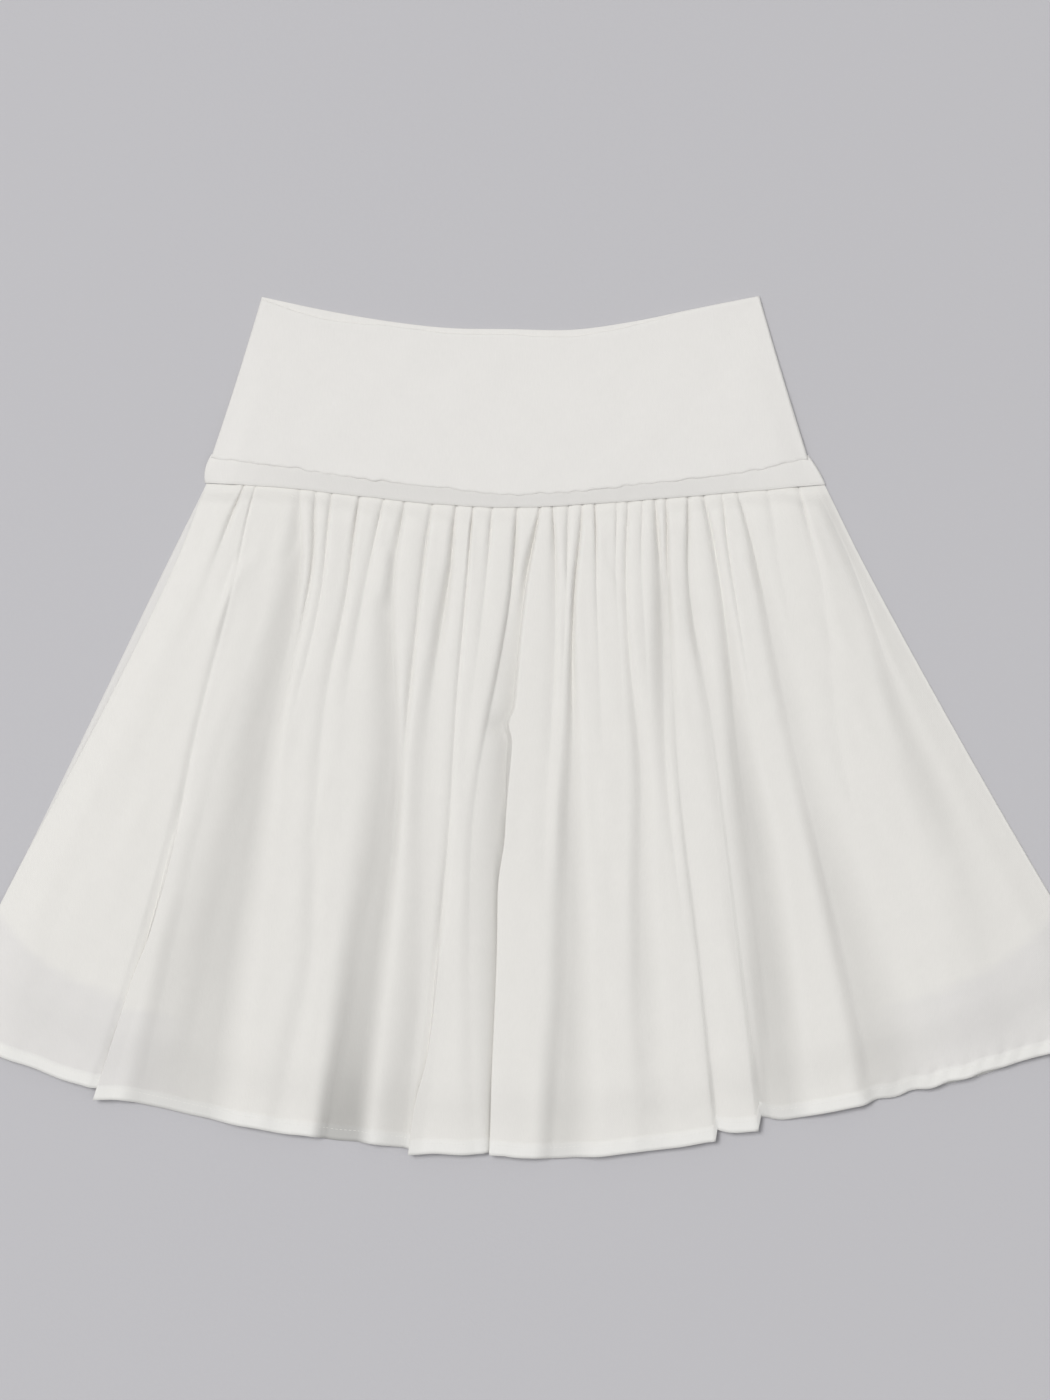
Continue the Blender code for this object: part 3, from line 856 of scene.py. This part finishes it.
    def shade(self, v: float, x: Array, places: list[float]) -> Array:
        """Painted shade: how much greyer the cloth is drawn deep in a broad valley and in the opening of a lap.

        Args:
            v: Share of the skirt's length.
            x: Places across.
            places: Places of the folds at v.

        Returns:
            0 on a ridge, 1 at the bottom of the deepest valley, and more in an opening.
        """
        deep = np.zeros(np.shape(x))
        for index, fold in enumerate(FOLDS):
            away = x - places[index]
            side = self.wall_width(fold, v, away)
            both = float(through(WALL_STATIONS, fold.left, v) + through(WALL_STATIONS, fold.right, v))
            broad = mix(self.narrow_shade, 1.0, float(ramp(both, self.broad_walls)))
            valley = self.valley(fold, v, away, side)
            deep = deep + broad * self.depth(index, v) * valley * mix(1.0, fold.dark, v**6)
        share = deep / self.deepest
        middle, length = self.slot_middle
        opening = math.exp(-(((v - middle) / length) ** 4)) + self.slot_low_gain * float(ramp(v, self.slot_low))
        for lap in LAPS:
            # Painted shade: a dark line in the opening of each lap.
            into = (x - places[lap.fold]) * lap.over + self.slot_width + lap.reach / 2 * self.turned(lap, v)
            opened = opening * lap.slot * self.risen(lap, v)
            share = share + opened * np.exp(-((into / self.slot_width) ** 2))
        return np.clip(share, 0.0, self.most_shade)

    def taper(self, v: float, x: Array) -> Array:
        """How far the cloth has risen from its side edges.

        Args:
            v: Share of the skirt's length.
            x: Places across.

        Returns:
            0 at the edges, and 1 well inside them.
        """
        wide = mix(*self.side_round, ramp(v, self.side_round_grows))
        from_side = np.clip(Outline.from_side(Outline.sides(v, Layer.FRONT), x) / wide, 0.0, 1.0)
        return mix(smooth(from_side), np.sin(from_side * math.pi / 2), self.side_bulge)

    def level(self, v: float, x: Array) -> Array:
        """Height of the cloth's middle surface where it rests on the layers below.

        Args:
            v: Share of the skirt's length.
            x: Places across.

        Returns:
            Height over the surface that the garment lies on.
        """
        ends = Outline.sides(v, Layer.FRONT)
        inset = Outline.from_side(ends, x)
        low = Lining.low_edge(Outline.share_across(ends, x))
        clear = smooth(inset / mix(Lining.inset_top, Lining.inset_low, min(v / Lining.low, 1.0)))
        lined = clear * smooth((v - self.band_edge) / 0.05) * smooth((low + 0.03 - v) / 0.08 + 1)
        grooved = clear * smooth((v - self.band_edge) / 0.02)
        wall = self.hem_wall if v >= HEM_EDGE else self.solid_wall
        layers = self.groove * grooved + 2 * (self.solid_wall + GAP) * lined
        settled = self.hem_drop * ramp(v, self.hem_settles) * clear
        settled = settled + self.side_drop * (1 - smooth(inset / self.side_drop_width))
        return wall * 1.5 + GAP + layers - settled

    def turned_edge(self, rise: float, reach: float, turned: float) -> list[tuple[float, float]]:
        """Points of an S of cloth, from a slope where turned is 0 to a flat lap where it is 1.

        Args:
            rise: Height of the S.
            reach: How far the lap lies over, once turned.
            turned: How far it has turned.

        Returns:
            Points as (across, up).
        """
        radius = rise / 4
        lean = mix(self.lap_slope, math.pi, turned)
        run = 2 * radius / math.tan(lean / 2) + reach * float(smooth(2 * turned - 1))
        across = 2 * radius * math.sin(lean) + run * math.cos(lean)
        height = 2 * radius * (1 - math.cos(lean)) + run * math.sin(lean)
        bend = []
        for index in range(self.bend_points):
            angle = lean * index / (self.bend_points - 1)
            up = radius * (1 - math.cos(angle)) * rise / max(height, 1e-6)
            bend.append((radius * math.sin(angle) - across / 2, up))
        return bend + [(-x, rise - up) for x, up in reversed(bend)]

    def lap_section(self, lap: Lap, v: float, x: float, half: float, places: list[float]) -> Array:
        """Points of the S that cloth makes in a lap.

        Args:
            lap: The lap.
            v: Share of the skirt's length.
            x: Place of its fold.
            half: Half the width of cloth that it takes up.
            places: Places of the folds at v.

        Returns:
            Points as (x before lapping, x, height), left to right.
        """
        risen = self.risen(lap, v)
        low = float(self.height(v, np.array(x), places))
        high = float(self.height(v, np.array(x + half * lap.over), places))
        across, up = np.array(self.turned_edge(high - low, lap.reach, self.turned(lap, v))).T
        plain = np.linspace(-half, half, len(up))
        level = mix(self.height(v, x + plain * lap.over, places), low + up, risen)
        moved = x + mix(plain, across, risen) * lap.over
        return np.stack((x + plain * lap.over, moved, level), axis=1)[:: lap.over]

    def section(self, v: float) -> Array:
        """One section across the front.

        Args:
            v: Share of the skirt's length.

        Returns:
            Points as (x before lapping, x, height), left to right, as many in every section.
        """
        ends = Outline.sides(v, Layer.FRONT)
        places = self.places(v)
        lines = [float(ends.left), *places, float(ends.right)]
        hem_lines = [SIDE_LEFT[-1], *(fold.places[-1] for fold in FOLDS), SIDE_RIGHT[-1]]
        laps = {lap.fold + 1: lap for lap in LAPS if lap.turn}
        half = {}
        for line in laps:
            room = min(lines[line + 1] - lines[line], lines[line] - lines[line - 1])
            half[line] = min(self.lap_half, 0.25 * room)
        parts = []
        for line in range(len(lines) - 1):
            if line in laps:
                parts.append(self.lap_section(laps[line], v, lines[line], half[line], places))
            start = lines[line] + half.get(line, 0.0)
            stop = lines[line + 1] - half.get(line + 1, 0.0)
            steps = max(round((hem_lines[line + 1] - hem_lines[line]) / self.column_width), 5)
            even = np.linspace(0.0, 1.0, steps + 1)[int(line in laps) : -1]
            crowd = float(mix(0.12, 0.04, v))
            x = mix(start, stop, even - crowd * np.sin(2 * math.pi * even))
            parts.append(np.stack((x, x, self.height(v, x, places)), axis=1))
        last = np.array([ends.right], float)
        parts.append(np.stack((last, last, self.height(v, last, places)), axis=1))
        return np.concatenate(parts)

    def hem(self, x: Array) -> Array:
        """Height of the front's hem, stepped at laps and rippled where the turned edge twists.

        Args:
            x: Places across.

        Returns:
            The hem's places along, as Y.
        """
        height = Outline.base_hem(x)
        for lap in LAPS:
            away = x - FOLDS[lap.fold].places[-1]
            step = np.where(away < 0, lap.step_left, lap.step_right)
            height = height + step * np.exp(-np.abs(away) / self.lap_fade)
        twist = 1.1 * ramp(x, (215.0, 25.0)) * smooth((330.0 - x) / 60.0) * np.sin(x / 4.4 + 0.02 * x)
        return height + 0.5 * ripple(7, x / 45.0, 0.0, 5, 0.7) + twist

    @staticmethod
    def twisted_hem(v: float, x: Array) -> Array:
        """Small oblique ripples of the turned edge, strongest towards the right corner.

        Args:
            v: Share of the skirt's length.
            x: Places across.

        Returns:
            Height to add.
        """
        reach = 0.15 + 0.85 * ramp(x, (210.0, 60.0))
        wave = np.sin(2 * math.pi * (x / 13.0 + v * 14.0) + 1.6 * np.sin(x / 23.0))
        return 0.55 * wave * reach * ramp(v, (0.955, 0.02)) * (1 - 0.6 * ramp(v, (0.985, 0.015)))

    def grid(self) -> tuple[Array, Tints]:
        """The front's points, and its tints.

        Returns:
            Points in millimetres, and how far each tint shows at each point.
        """
        top = Outline.panel_top(self.section(0.0)[:, 0], self.tuck)
        hem = self.hem(self.section(1.0)[:, 0])
        rows, lined, hemmed, painted_shades = [], [], [], []
        for v in graded(self.row_bands):
            plain, x, height = self.section(v).T
            y = mix(top, hem, v)
            u = Outline.share_across(Outline.sides(v, Layer.FRONT), plain)
            taper = self.taper(v, plain)
            height = height - crease_height(FRONT_CREASES, x, y) * taper
            crinkled = self.crinkle * ripple(3, u * 14.0, v * 3.0) * taper
            height = height + crinkled * ramp(v, self.crinkle_grows)
            z = np.maximum(height, 0.0) + self.level(v, plain) + self.twisted_hem(v, x) * taper
            rows.append(np.stack((x, y, z), axis=1))
            layered = smooth((self.lining_seen[0] - np.abs(x)) / self.lining_seen[1])
            lined.append(np.maximum(smooth((Lining.low_edge(u) - v) / 0.02 + 0.5), layered))
            hemmed.append(hem_tint(v, x))
            # Painted shade of the valleys and lap openings.
            painted_shades.append(self.shade(v, plain, self.places(v)))
        tints = {Tint.LINED: np.stack(lined), Tint.HEM: np.stack(hemmed), Tint.SHADE: np.stack(painted_shades)}
        return np.stack(rows), tints


@dataclass
class SkirtBack:
    """The back of the skirt, whose even gathers are pressed flat on the surface."""

    gathers: int = 26
    columns_each: int = 9
    groove: float = 0.8
    fades: Span = (0.12, 0.4 - 0.12)
    flattens: Span = (0.78, 0.12)
    wall: float = 0.4
    hem_lift: float = 0.25
    row_bands: Bands = (
        (0.0, 0.12, 18),
        (0.12, 0.45, 24),
        (0.45, HEM_FOLD, 26),
        (HEM_FOLD, HEM_EDGE, 3),
        (HEM_EDGE, 1.0, 3),
    )

    def hem(self, x: Array) -> Array:
        """Height of the back's hem: hidden behind the front's, but for a stretch on the right."""
        u = np.abs(Outline.share_across(Outline.sides(1.0, Layer.BACK), x))
        return Outline.base_hem(x) + (8.0 - 11.0 * np.exp(-(((x - 305.0) / 62.0) ** 2))) * (1 - u**4)

    def gather_height(self, share: Array, v: float) -> Array:
        """How far the cloth lifts off the surface at its gathers.

        Args:
            share: Places across, from 0 to 1.
            v: Share of the skirt's length.

        Returns:
            Height over the flat cloth. Two gathers in three fade below the band.
        """
        total = np.zeros(len(share))
        spread = float(mix(0.30, 0.42, v)) / self.gathers
        for index in range(self.gathers):
            place = (index + 0.5 + 0.3 * math.sin(2.4 * index)) / self.gathers
            rise = float(smooth(v / 0.02))
            if index % 3 != 1:
                rise *= 1 - float(ramp(v, self.fades))
            rise *= 1 - 0.85 * float(ramp(v, self.flattens))
            total = np.maximum(total, self.groove * rise * (1 - smooth(np.abs(share - place) / spread)))
        return total

    def grid(self) -> tuple[Array, Tints]:
        """The back's points and tints.

        Returns:
            Points in millimetres, resting on the surface, and how far the turned hem shows at each.
        """
        share = np.linspace(0.0, 1.0, self.gathers * self.columns_each + 1)
        top = Outline.panel_top(mix(SIDE_LEFT[0], SIDE_RIGHT[0], share))
        hem = self.hem(mix(SIDE_LEFT[-1], SIDE_RIGHT[-1], share))
        rows, hemmed = [], []
        for v in graded(self.row_bands):
            x = mix(*Outline.sides(v, Layer.BACK), share)
            lift = self.wall / 2 + self.hem_lift * smooth((v - HEM_FOLD) / 0.004)
            rows.append(np.stack((x, mix(top, hem, v), self.gather_height(share, v) + lift), axis=1))
            hemmed.append(hem_tint(v, x))
        return np.stack(rows), {Tint.HEM: np.stack(hemmed)}


@dataclass
class Lining:
    """One of the two narrower panels inside the skirt, which end well above the hem."""

    level: float
    top: float = 0.045
    columns: int = 80
    rows: int = 60
    wall: float = 1.0
    low: ClassVar[float] = 0.865
    corner_rise: ClassVar[float] = 0.085
    inset_top: ClassVar[float] = 13.0
    inset_low: ClassVar[float] = 27.0

    @classmethod
    def low_edge(cls, u: Array) -> Array:
        """Share of the skirt's length at which the lining ends, which rises towards its corners."""
        return cls.low - cls.corner_rise * np.abs(u) ** 6

    def grid(self) -> Array:
        """The lining's points.

        Returns:
            Points in millimetres, flat but for slight waves.
        """
        u = np.linspace(-1.0, 1.0, self.columns + 1)
        top = Outline.panel_top(Outline.between(BAND_LOW, u))
        hem = Outline.base_hem(Outline.between(Outline.sides(1.0, Layer.BACK), u))
        rows = []
        for step in np.linspace(0.0, 1.0, self.rows + 1):
            v = mix(self.top, self.low_edge(u), step)
            inset = mix(self.inset_top, self.inset_low, v / self.low)
            ends = Outline.sides(v, Layer.FRONT)
            x = Outline.between(Ends(ends.left + inset, ends.right - inset), u)
            z = self.level + self.wall / 2 + 0.15 * ripple(21, u * 5, step * 2)
            rows.append(np.stack((x, mix(top, hem, v), z), axis=1))
        return np.stack(rows)


@dataclass
class Band:
    """The narrow folded band over the dropped seam, on one side of the garment."""

    layer: Layer
    columns: int = 280
    under_yoke: float = 2.5
    thick: float = 1.0
    bulge: Span = (0.8, 2.0)
    lifted: ClassVar[Span] = (1.3, 3.85)
    lifts_over: ClassVar[float] = 22.0
    profile: tuple[float, ...] = (0.0, 0.02, 0.05, 0.1, 0.2, 0.35, 0.5, 0.65, 0.8, 0.88, 0.93, 0.965, 0.985, 1.0)

    @classmethod
    def level(cls, u: Any) -> Any:
        """Height of the underside of the front's band, which comes down at its ends."""
        from_end = (1 - np.abs(u)) * (BAND_LOW.right - BAND_LOW.left) / 2
        return mix(*cls.lifted, smooth(from_end / cls.lifts_over))

    def grid(self) -> tuple[Array, Array]:
        """The band's points, a strip with its two long edges rolled down.

        Returns:
            Points in millimetres, and the painted shade at each, darkest just under the yoke's edge and in the
            middle.
        """
        front = self.layer is Layer.FRONT
        u = np.linspace(-1.0, 1.0, self.columns + 1)
        upper = Outline.edge("seam", u) + (self.under_yoke if front else TUCK_BACK)
        lower = Outline.edge("band_low", u) + 0.25 * ripple(11, u * 9.0, 0.0, 5, 0.7)
        rows, painted_shades = [], []
        for t in self.profile:
            arch = math.sin(math.pi * t)
            x = mix(Outline.between(SEAM, u), Outline.between(BAND_LOW, u), t)
            x = x + mix(*self.bulge, u < 0) * arch * np.sign(u) * smooth((np.abs(u) - 0.9) / 0.1)
            z = 0.0 * u + self.thick / 2
            if front:
                roll = 0.55 * float(smooth((t - 0.86) / 0.14)) ** 2
                z = self.level(u) + self.thick / 2 + (0.4 * arch - roll)
                z = z + 0.12 * ripple(12, u * 16.0, t * 0.7) * arch
            rows.append(np.stack((x, mix(upper, lower, t), z), axis=1))
            # Painted shade: the band is drawn darker under the yoke's edge and towards its middle.
            painted_shades.append(mix(0.62, 0.4, t) * (1 - np.abs(u) ** 3) * front)
        return np.stack(rows), np.stack(painted_shades)


@dataclass
class Yoke:
    """The deep smooth yoke on one side of the garment, made double and turned at its waist edge."""

    layer: Layer
    columns: int = 220
    bow: float = 2.0
    wall: float = 1.2
    cloth_wall: float = 0.9
    row_bands: Bands = ((0.0, 0.03, 6), (0.03, 0.96, 89))
    rolled_rows: tuple[float, ...] = (0.97, 0.978, 0.984, 0.988, 0.991, 0.994, 0.9965, 0.9985, 1.0)

    def grid(self) -> Array:
        """The yoke's points.

        Returns:
            Points in millimetres, from its waist edge down to the seam, where the front's edge is rolled.
        """
        front = self.layer is Layer.FRONT
        u = np.linspace(-1.0, 1.0, self.columns + 1)
        waist = Outline.edge("waist_front" if front else "waist_back", u)
        seam = Outline.edge("seam", u) - 1.6 * (1 - u**4) * front
        rows = []
        for t in (*graded(self.row_bands), *self.rolled_rows):
            x = mix(Outline.between(WAIST, u), Outline.between(SEAM, u), t) - self.bow * u * t * (1 - t)
            y, z = mix(waist, seam, t), 0.0 * u
            if front:
                y = y + 0.7 * ripple(31, u * 11.0, 0.0, 6, 0.7) * float(smooth((t - 0.9) / 0.1))
                y = y + 0.3 * ripple(33, u * 6.0, 0.0, 4, 0.6) * (1 - float(smooth(t / 0.1)))
                z = mix(self.wall + GAP, Band.level(u) + 1.0 + 0.25, smooth(t))
                edge = smooth((1 - np.abs(u)) * 190.0 / 6.0)
                z = z + 0.22 * ripple(32, u * 3.0, t * 1.2) * edge * float(smooth(t / 0.05))
                rolled = float(np.clip((t - 0.982) / 0.018, 0.0, 1.0))
                z = z - 0.35 * (1 - smooth(t / 0.02)) - 0.95 * (1 - math.sqrt(1 - rolled**2))
            rows.append(np.stack((x, y, z + self.wall / 2), axis=1))
        return np.stack(rows)


@dataclass
class StitchRow:
    """A row of machine stitches along a line on the cloth, made by Geometry Nodes."""

    name: str
    thread: bpy.types.Material
    length: float = 2.4
    gap: float = 0.7
    thick: float = 0.28
    grid_row: ClassVar[int] = -4

    def sizes(self) -> dict[str, float]:
        """The stitch's sizes in metres, by the names of the tree's inputs."""
        sizes = {"Stitch length": self.length, "Stitch gap": self.gap, "Thread thickness": self.thick}
        return {name: size * MM for name, size in sizes.items()}

    def tree(self) -> bpy.types.NodeTree:
        """Build the node tree that lays one stitch for each step of a curve.

        Returns:
            A tree with inputs for stitch length, gap and thread thickness.
        """
        tree = bpy.data.node_groups.new("stitch_row", "GeometryNodeTree")
        face = tree.interface
        face.new_socket("Line", in_out="INPUT", socket_type="NodeSocketGeometry")
        for name, size in self.sizes().items():
            face.new_socket(name, in_out="INPUT", socket_type="NodeSocketFloat").default_value = size
        face.new_socket("Stitches", in_out="OUTPUT", socket_type="NodeSocketGeometry")
        given = add_node(tree, "NodeGroupInput", {}, {}).outputs
        length, thick = given["Stitch length"], given["Thread thickness"]
        pace = math_node(tree, "ADD", length, given["Stitch gap"])
        line = add_node(tree, "GeometryNodeMeshToCurve", {}, {"Mesh": given["Line"]})
        cut = {"Curve": line.outputs["Curve"], "Length": pace}
        steps = add_node(tree, "GeometryNodeResampleCurve", {"mode": "LENGTH"}, cut)
        along = {"Vector": add_node(tree, "GeometryNodeInputTangent", {}, {}).outputs[0]}
        turn = add_node(tree, "FunctionNodeAlignRotationToVector", {"axis": "X"}, along)
        ball = add_node(tree, "GeometryNodeMeshUVSphere", {}, {"Segments": 8, "Rings": 5, "Radius": 0.5})
        size = add_node(tree, "ShaderNodeCombineXYZ", {}, {"X": length, "Y": thick, "Z": thick})
        each = {"Points": steps.outputs["Curve"], "Instance": ball.outputs["Mesh"]}
        each |= {"Rotation": turn.outputs["Rotation"], "Scale": size.outputs["Vector"]}
        laid = add_node(tree, "GeometryNodeInstanceOnPoints", {}, each)
        laid = {"Geometry": laid.outputs["Instances"]}
        real = add_node(tree, "GeometryNodeRealizeInstances", {}, laid)
        dressed = {"Geometry": real.outputs["Geometry"], "Material": self.thread}
        finish = add_node(tree, "GeometryNodeSetMaterial", {}, dressed)
        add_node(tree, "NodeGroupOutput", {}, {0: finish.outputs["Geometry"]})
        return tree

    def build(self, line: Array, slot: str) -> Any:
        """Lay stitches along a line.

        Args:
            line: Points of the line, in millimetres.
            slot: Not used.

        Returns:
            One plain mesh object with all the stitches, riding on the garment.
        """
        path = bpy.data.meshes.new(self.name + "_path")
        path.from_pydata((line * MM).tolist(), [(i, i + 1) for i in range(len(line) - 1)], [])
        carrier = new_object(self.name + "_path", path)
        rule = carrier.modifiers.new("stitches", "NODES")
        rule.node_group = self.tree()
        sizes = self.sizes()
        for item in rule.node_group.interface.items_tree:
            if item.in_out == "INPUT" and item.name in sizes:
                rule[item.identifier] = sizes[item.name]
        shown = carrier.evaluated_get(bpy.context.evaluated_depsgraph_get())
        mesh = bpy.data.meshes.new_from_object(shown)
        mesh.name = self.name
        mesh.shade_smooth()
        bpy.data.objects.remove(carrier)
        piece = new_object(self.name, mesh)
        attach(piece, BODY)
        return piece


@dataclass(frozen=True)
class Sun:
    """A broad, even light from one direction: where it stands, its angle in degrees, and its power."""

    name: str
    place: tuple[float, float, float]
    angle: float
    power: float

    def shine(self) -> None:
        """Add the light to the scene."""
        data = bpy.data.lights.new(self.name, "SUN")
        data.angle = math.radians(self.angle)
        data.energy = self.power
        aim(new_object(self.name, data), self.place)


def aim(lamp: bpy.types.Object, place: tuple[float, float, float]) -> None:
    """Stand a lamp at a place in metres, turned towards the garment."""
    lamp.location = place
    lamp.rotation_euler = (-lamp.location).to_track_quat("-Z", "Y").to_euler()


@dataclass
class Studio:
    """Pale floor, soft lights and the camera straight above the garment."""

    middle: tuple[float, float] = (-5.8, 18.5)
    height_seen: float = 962.0
    lens: float = 80.0
    sensor: float = 36.0
    floor_size: float = 30000.0
    suns: tuple[Sun, ...] = (
        Sun("key", (-0.95, 0.75, 2.4), 24.0, 1.75),
        Sun("fill", (1.4, -0.6, 2.2), 60.0, 0.3),
    )
    wash_place: tuple[float, float, float] = (-1.0, 0.1, 1.5)
    wash_size: float = 1.2
    wash_power: float = 2.2
    surroundings: str = "F4F4F6"
    surroundings_power: float = 0.36

    def floor(self) -> None:
        """Make the paper floor just under the garment."""
        mesh = bpy.data.meshes.new("floor")
        far = self.floor_size / 2 * MM
        corners = [(-far, -far, 0.0), (far, -far, 0.0), (far, far, 0.0), (-far, far, 0.0)]
        mesh.from_pydata(corners, [], [(0, 1, 2, 3)])
        mesh.materials.append(StudioPaper().material())
        new_object("floor", mesh)

    def wash(self) -> None:
        """Lift the left side a little, as a lamp that stands on that side does."""
        data = bpy.data.lights.new("wash", "AREA")
        data.size = self.wash_size
        data.energy = self.wash_power
        aim(new_object("wash", data), self.wash_place)

    def camera(self) -> None:
        """Look straight down, framing the garment as the photograph does."""
        data = bpy.data.cameras.new("camera")
        data.lens = self.lens
        data.sensor_width = self.sensor
        eye = new_object("camera", data)
        up = self.height_seen / 2 * self.lens / (self.sensor / 2)
        eye.location = (self.middle[0] * MM, self.middle[1] * MM, up * MM)
        bpy.context.scene.camera = eye

    def build(self) -> None:
        """Make the floor, the lights, the pale surroundings and the camera."""
        self.floor()
        for sun in self.suns:
            sun.shine()
        self.wash()
        world = bpy.data.worlds.new("studio")
        world.use_nodes = True
        sky = world.node_tree.nodes["Background"].inputs
        sky["Color"].default_value = srgb(self.surroundings)
        sky["Strength"].default_value = self.surroundings_power
        bpy.context.scene.world = world
        bpy.context.scene.view_settings.view_transform = "Standard"
        self.camera()


@dataclass
class Garment:
    """The whole skirt, built from the back up."""

    skirt_cut: Cut = Cut(0.91, 0.512, 0.375)
    lining_cut: Cut = Cut(0.704, 0.448, 0.234)
    band_cut: Cut = Cut(0.44, 0.018, 0.0079)
    yoke_cut: Cut = Cut(0.43, 0.153, 0.051)
    skirt_wall: float = 0.4
    lining_wall: float = 0.3
    lining_levels: tuple[tuple[str, float], ...] = (("back", 2.1), ("front", 3.4))
    # Poplin gives the skirt a dry, even white that turns a little greyer where it is one layer thick.
    poplin: WovenCotton = WovenCotton("cotton_poplin", "E3E1DE", "E9E7E2", "EEEDE9")
    # Sateen gives the yoke and the band a closer, smoother and slightly brighter face.
    sateen: WovenCotton = WovenCotton(
        "brushed_cotton_sateen", "EAE8E4", "EAE8E4", "EAE8E4", thread_spacing=0.5, wave_depth=0.12
    )
    # Batiste gives the lining a thin, soft and very white face.
    batiste: WovenCotton = WovenCotton("cotton_batiste", "F1F0ED", "F1F0ED", "F1F0ED", wave_depth=0.3)

    def skirt(self, layer: Layer, cloth: bpy.types.Material, thread: bpy.types.Material) -> list[Any]:
        """Make one panel of the skirt, and lay a row of stitches along the fold of its hem.

        Args:
            layer: Side of the garment.
            cloth: Finish of the panel.
            thread: Finish of the stitches.

        Returns:
            The panel and its stitches.
        """
        front = layer is Layer.FRONT
        points, tints = SkirtFront().grid() if front else SkirtBack().grid()
        under = ("lining_front_panel", "back_panel") if front else ("floor",)
        side = layer.value
        sheet = ClothSheet(f"{side}_panel", f"skirt_{side}", cloth, self.skirt_cut, under, self.skirt_wall)
        panel = sheet.build(points, tints)
        row = points[StitchRow.grid_row, 3:-3].copy()
        row[:, 2] += sheet.wall / 2
        stitches = StitchRow(sheet.name + "_hem_stitches", thread).build(row, sheet.slot)
        sheet.declare(panel)
        return [panel, stitches]

    def linings(self, cloth: bpy.types.Material) -> list[Any]:
        """Make the two lining panels, which lie between the back and the front.

        Args:
            cloth: Finish of the panels.

        Returns:
            The back's panel and the front's.
        """
        made = []
        for side, level in self.lining_levels:
            node = f"lining_{side}"
            sheet = ClothSheet(f"{node}_panel", node, cloth, self.lining_cut, ("back_panel",), self.lining_wall)
            made.append(sheet.build(Lining(level).grid()))
            sheet.declare(made[-1])
        return made

    def top(self, layer: Layer, cloth: bpy.types.Material) -> list[Any]:
        """Make the band and the yoke of one side.

        Args:
            layer: Side of the garment.
            cloth: Finish of both.

        Returns:
            The band and the yoke.
        """
        front, side = layer is Layer.FRONT, layer.value
        band, yoke = Band(layer), Yoke(layer)
        under = ("front_panel",) if front else ("floor",)
        strip = ClothSheet(f"band_{side}_strip", f"band_{side}", cloth, self.band_cut, under, band.thick)
        under = ("band_front_strip",) if front else ("floor",)
        panel = ClothSheet(f"yoke_{side}_panel", f"yoke_{side}", cloth, self.yoke_cut, under, yoke.cloth_wall)
        points, painted_shades = band.grid()
        made = [strip.build(points, {Tint.SHADE: painted_shades}), panel.build(yoke.grid())]
        strip.declare(made[0])
        panel.declare(made[1])
        return made

    def build(self) -> list[Any]:
        """Build, dress and declare every piece.

        Returns:
            The pieces, from the back up.
        """
        poplin = self.poplin.material()
        sateen = self.sateen.material()
        thread = SewingThread().material()
        made = self.skirt(Layer.BACK, poplin, thread)
        made += self.linings(self.batiste.material())
        made += self.skirt(Layer.FRONT, poplin, thread)
        for layer in Layer:
            made += self.top(layer, sateen)
        return made


def main() -> None:
    """Build the garment and its studio, and report each piece."""
    logging.basicConfig(level=logging.INFO, format="%(message)s")
    Studio().build()
    for piece in Garment().build():
        LOG.info("%s: %d faces", piece.name, len(piece.data.polygons))


if __name__ == "__main__":
    main()
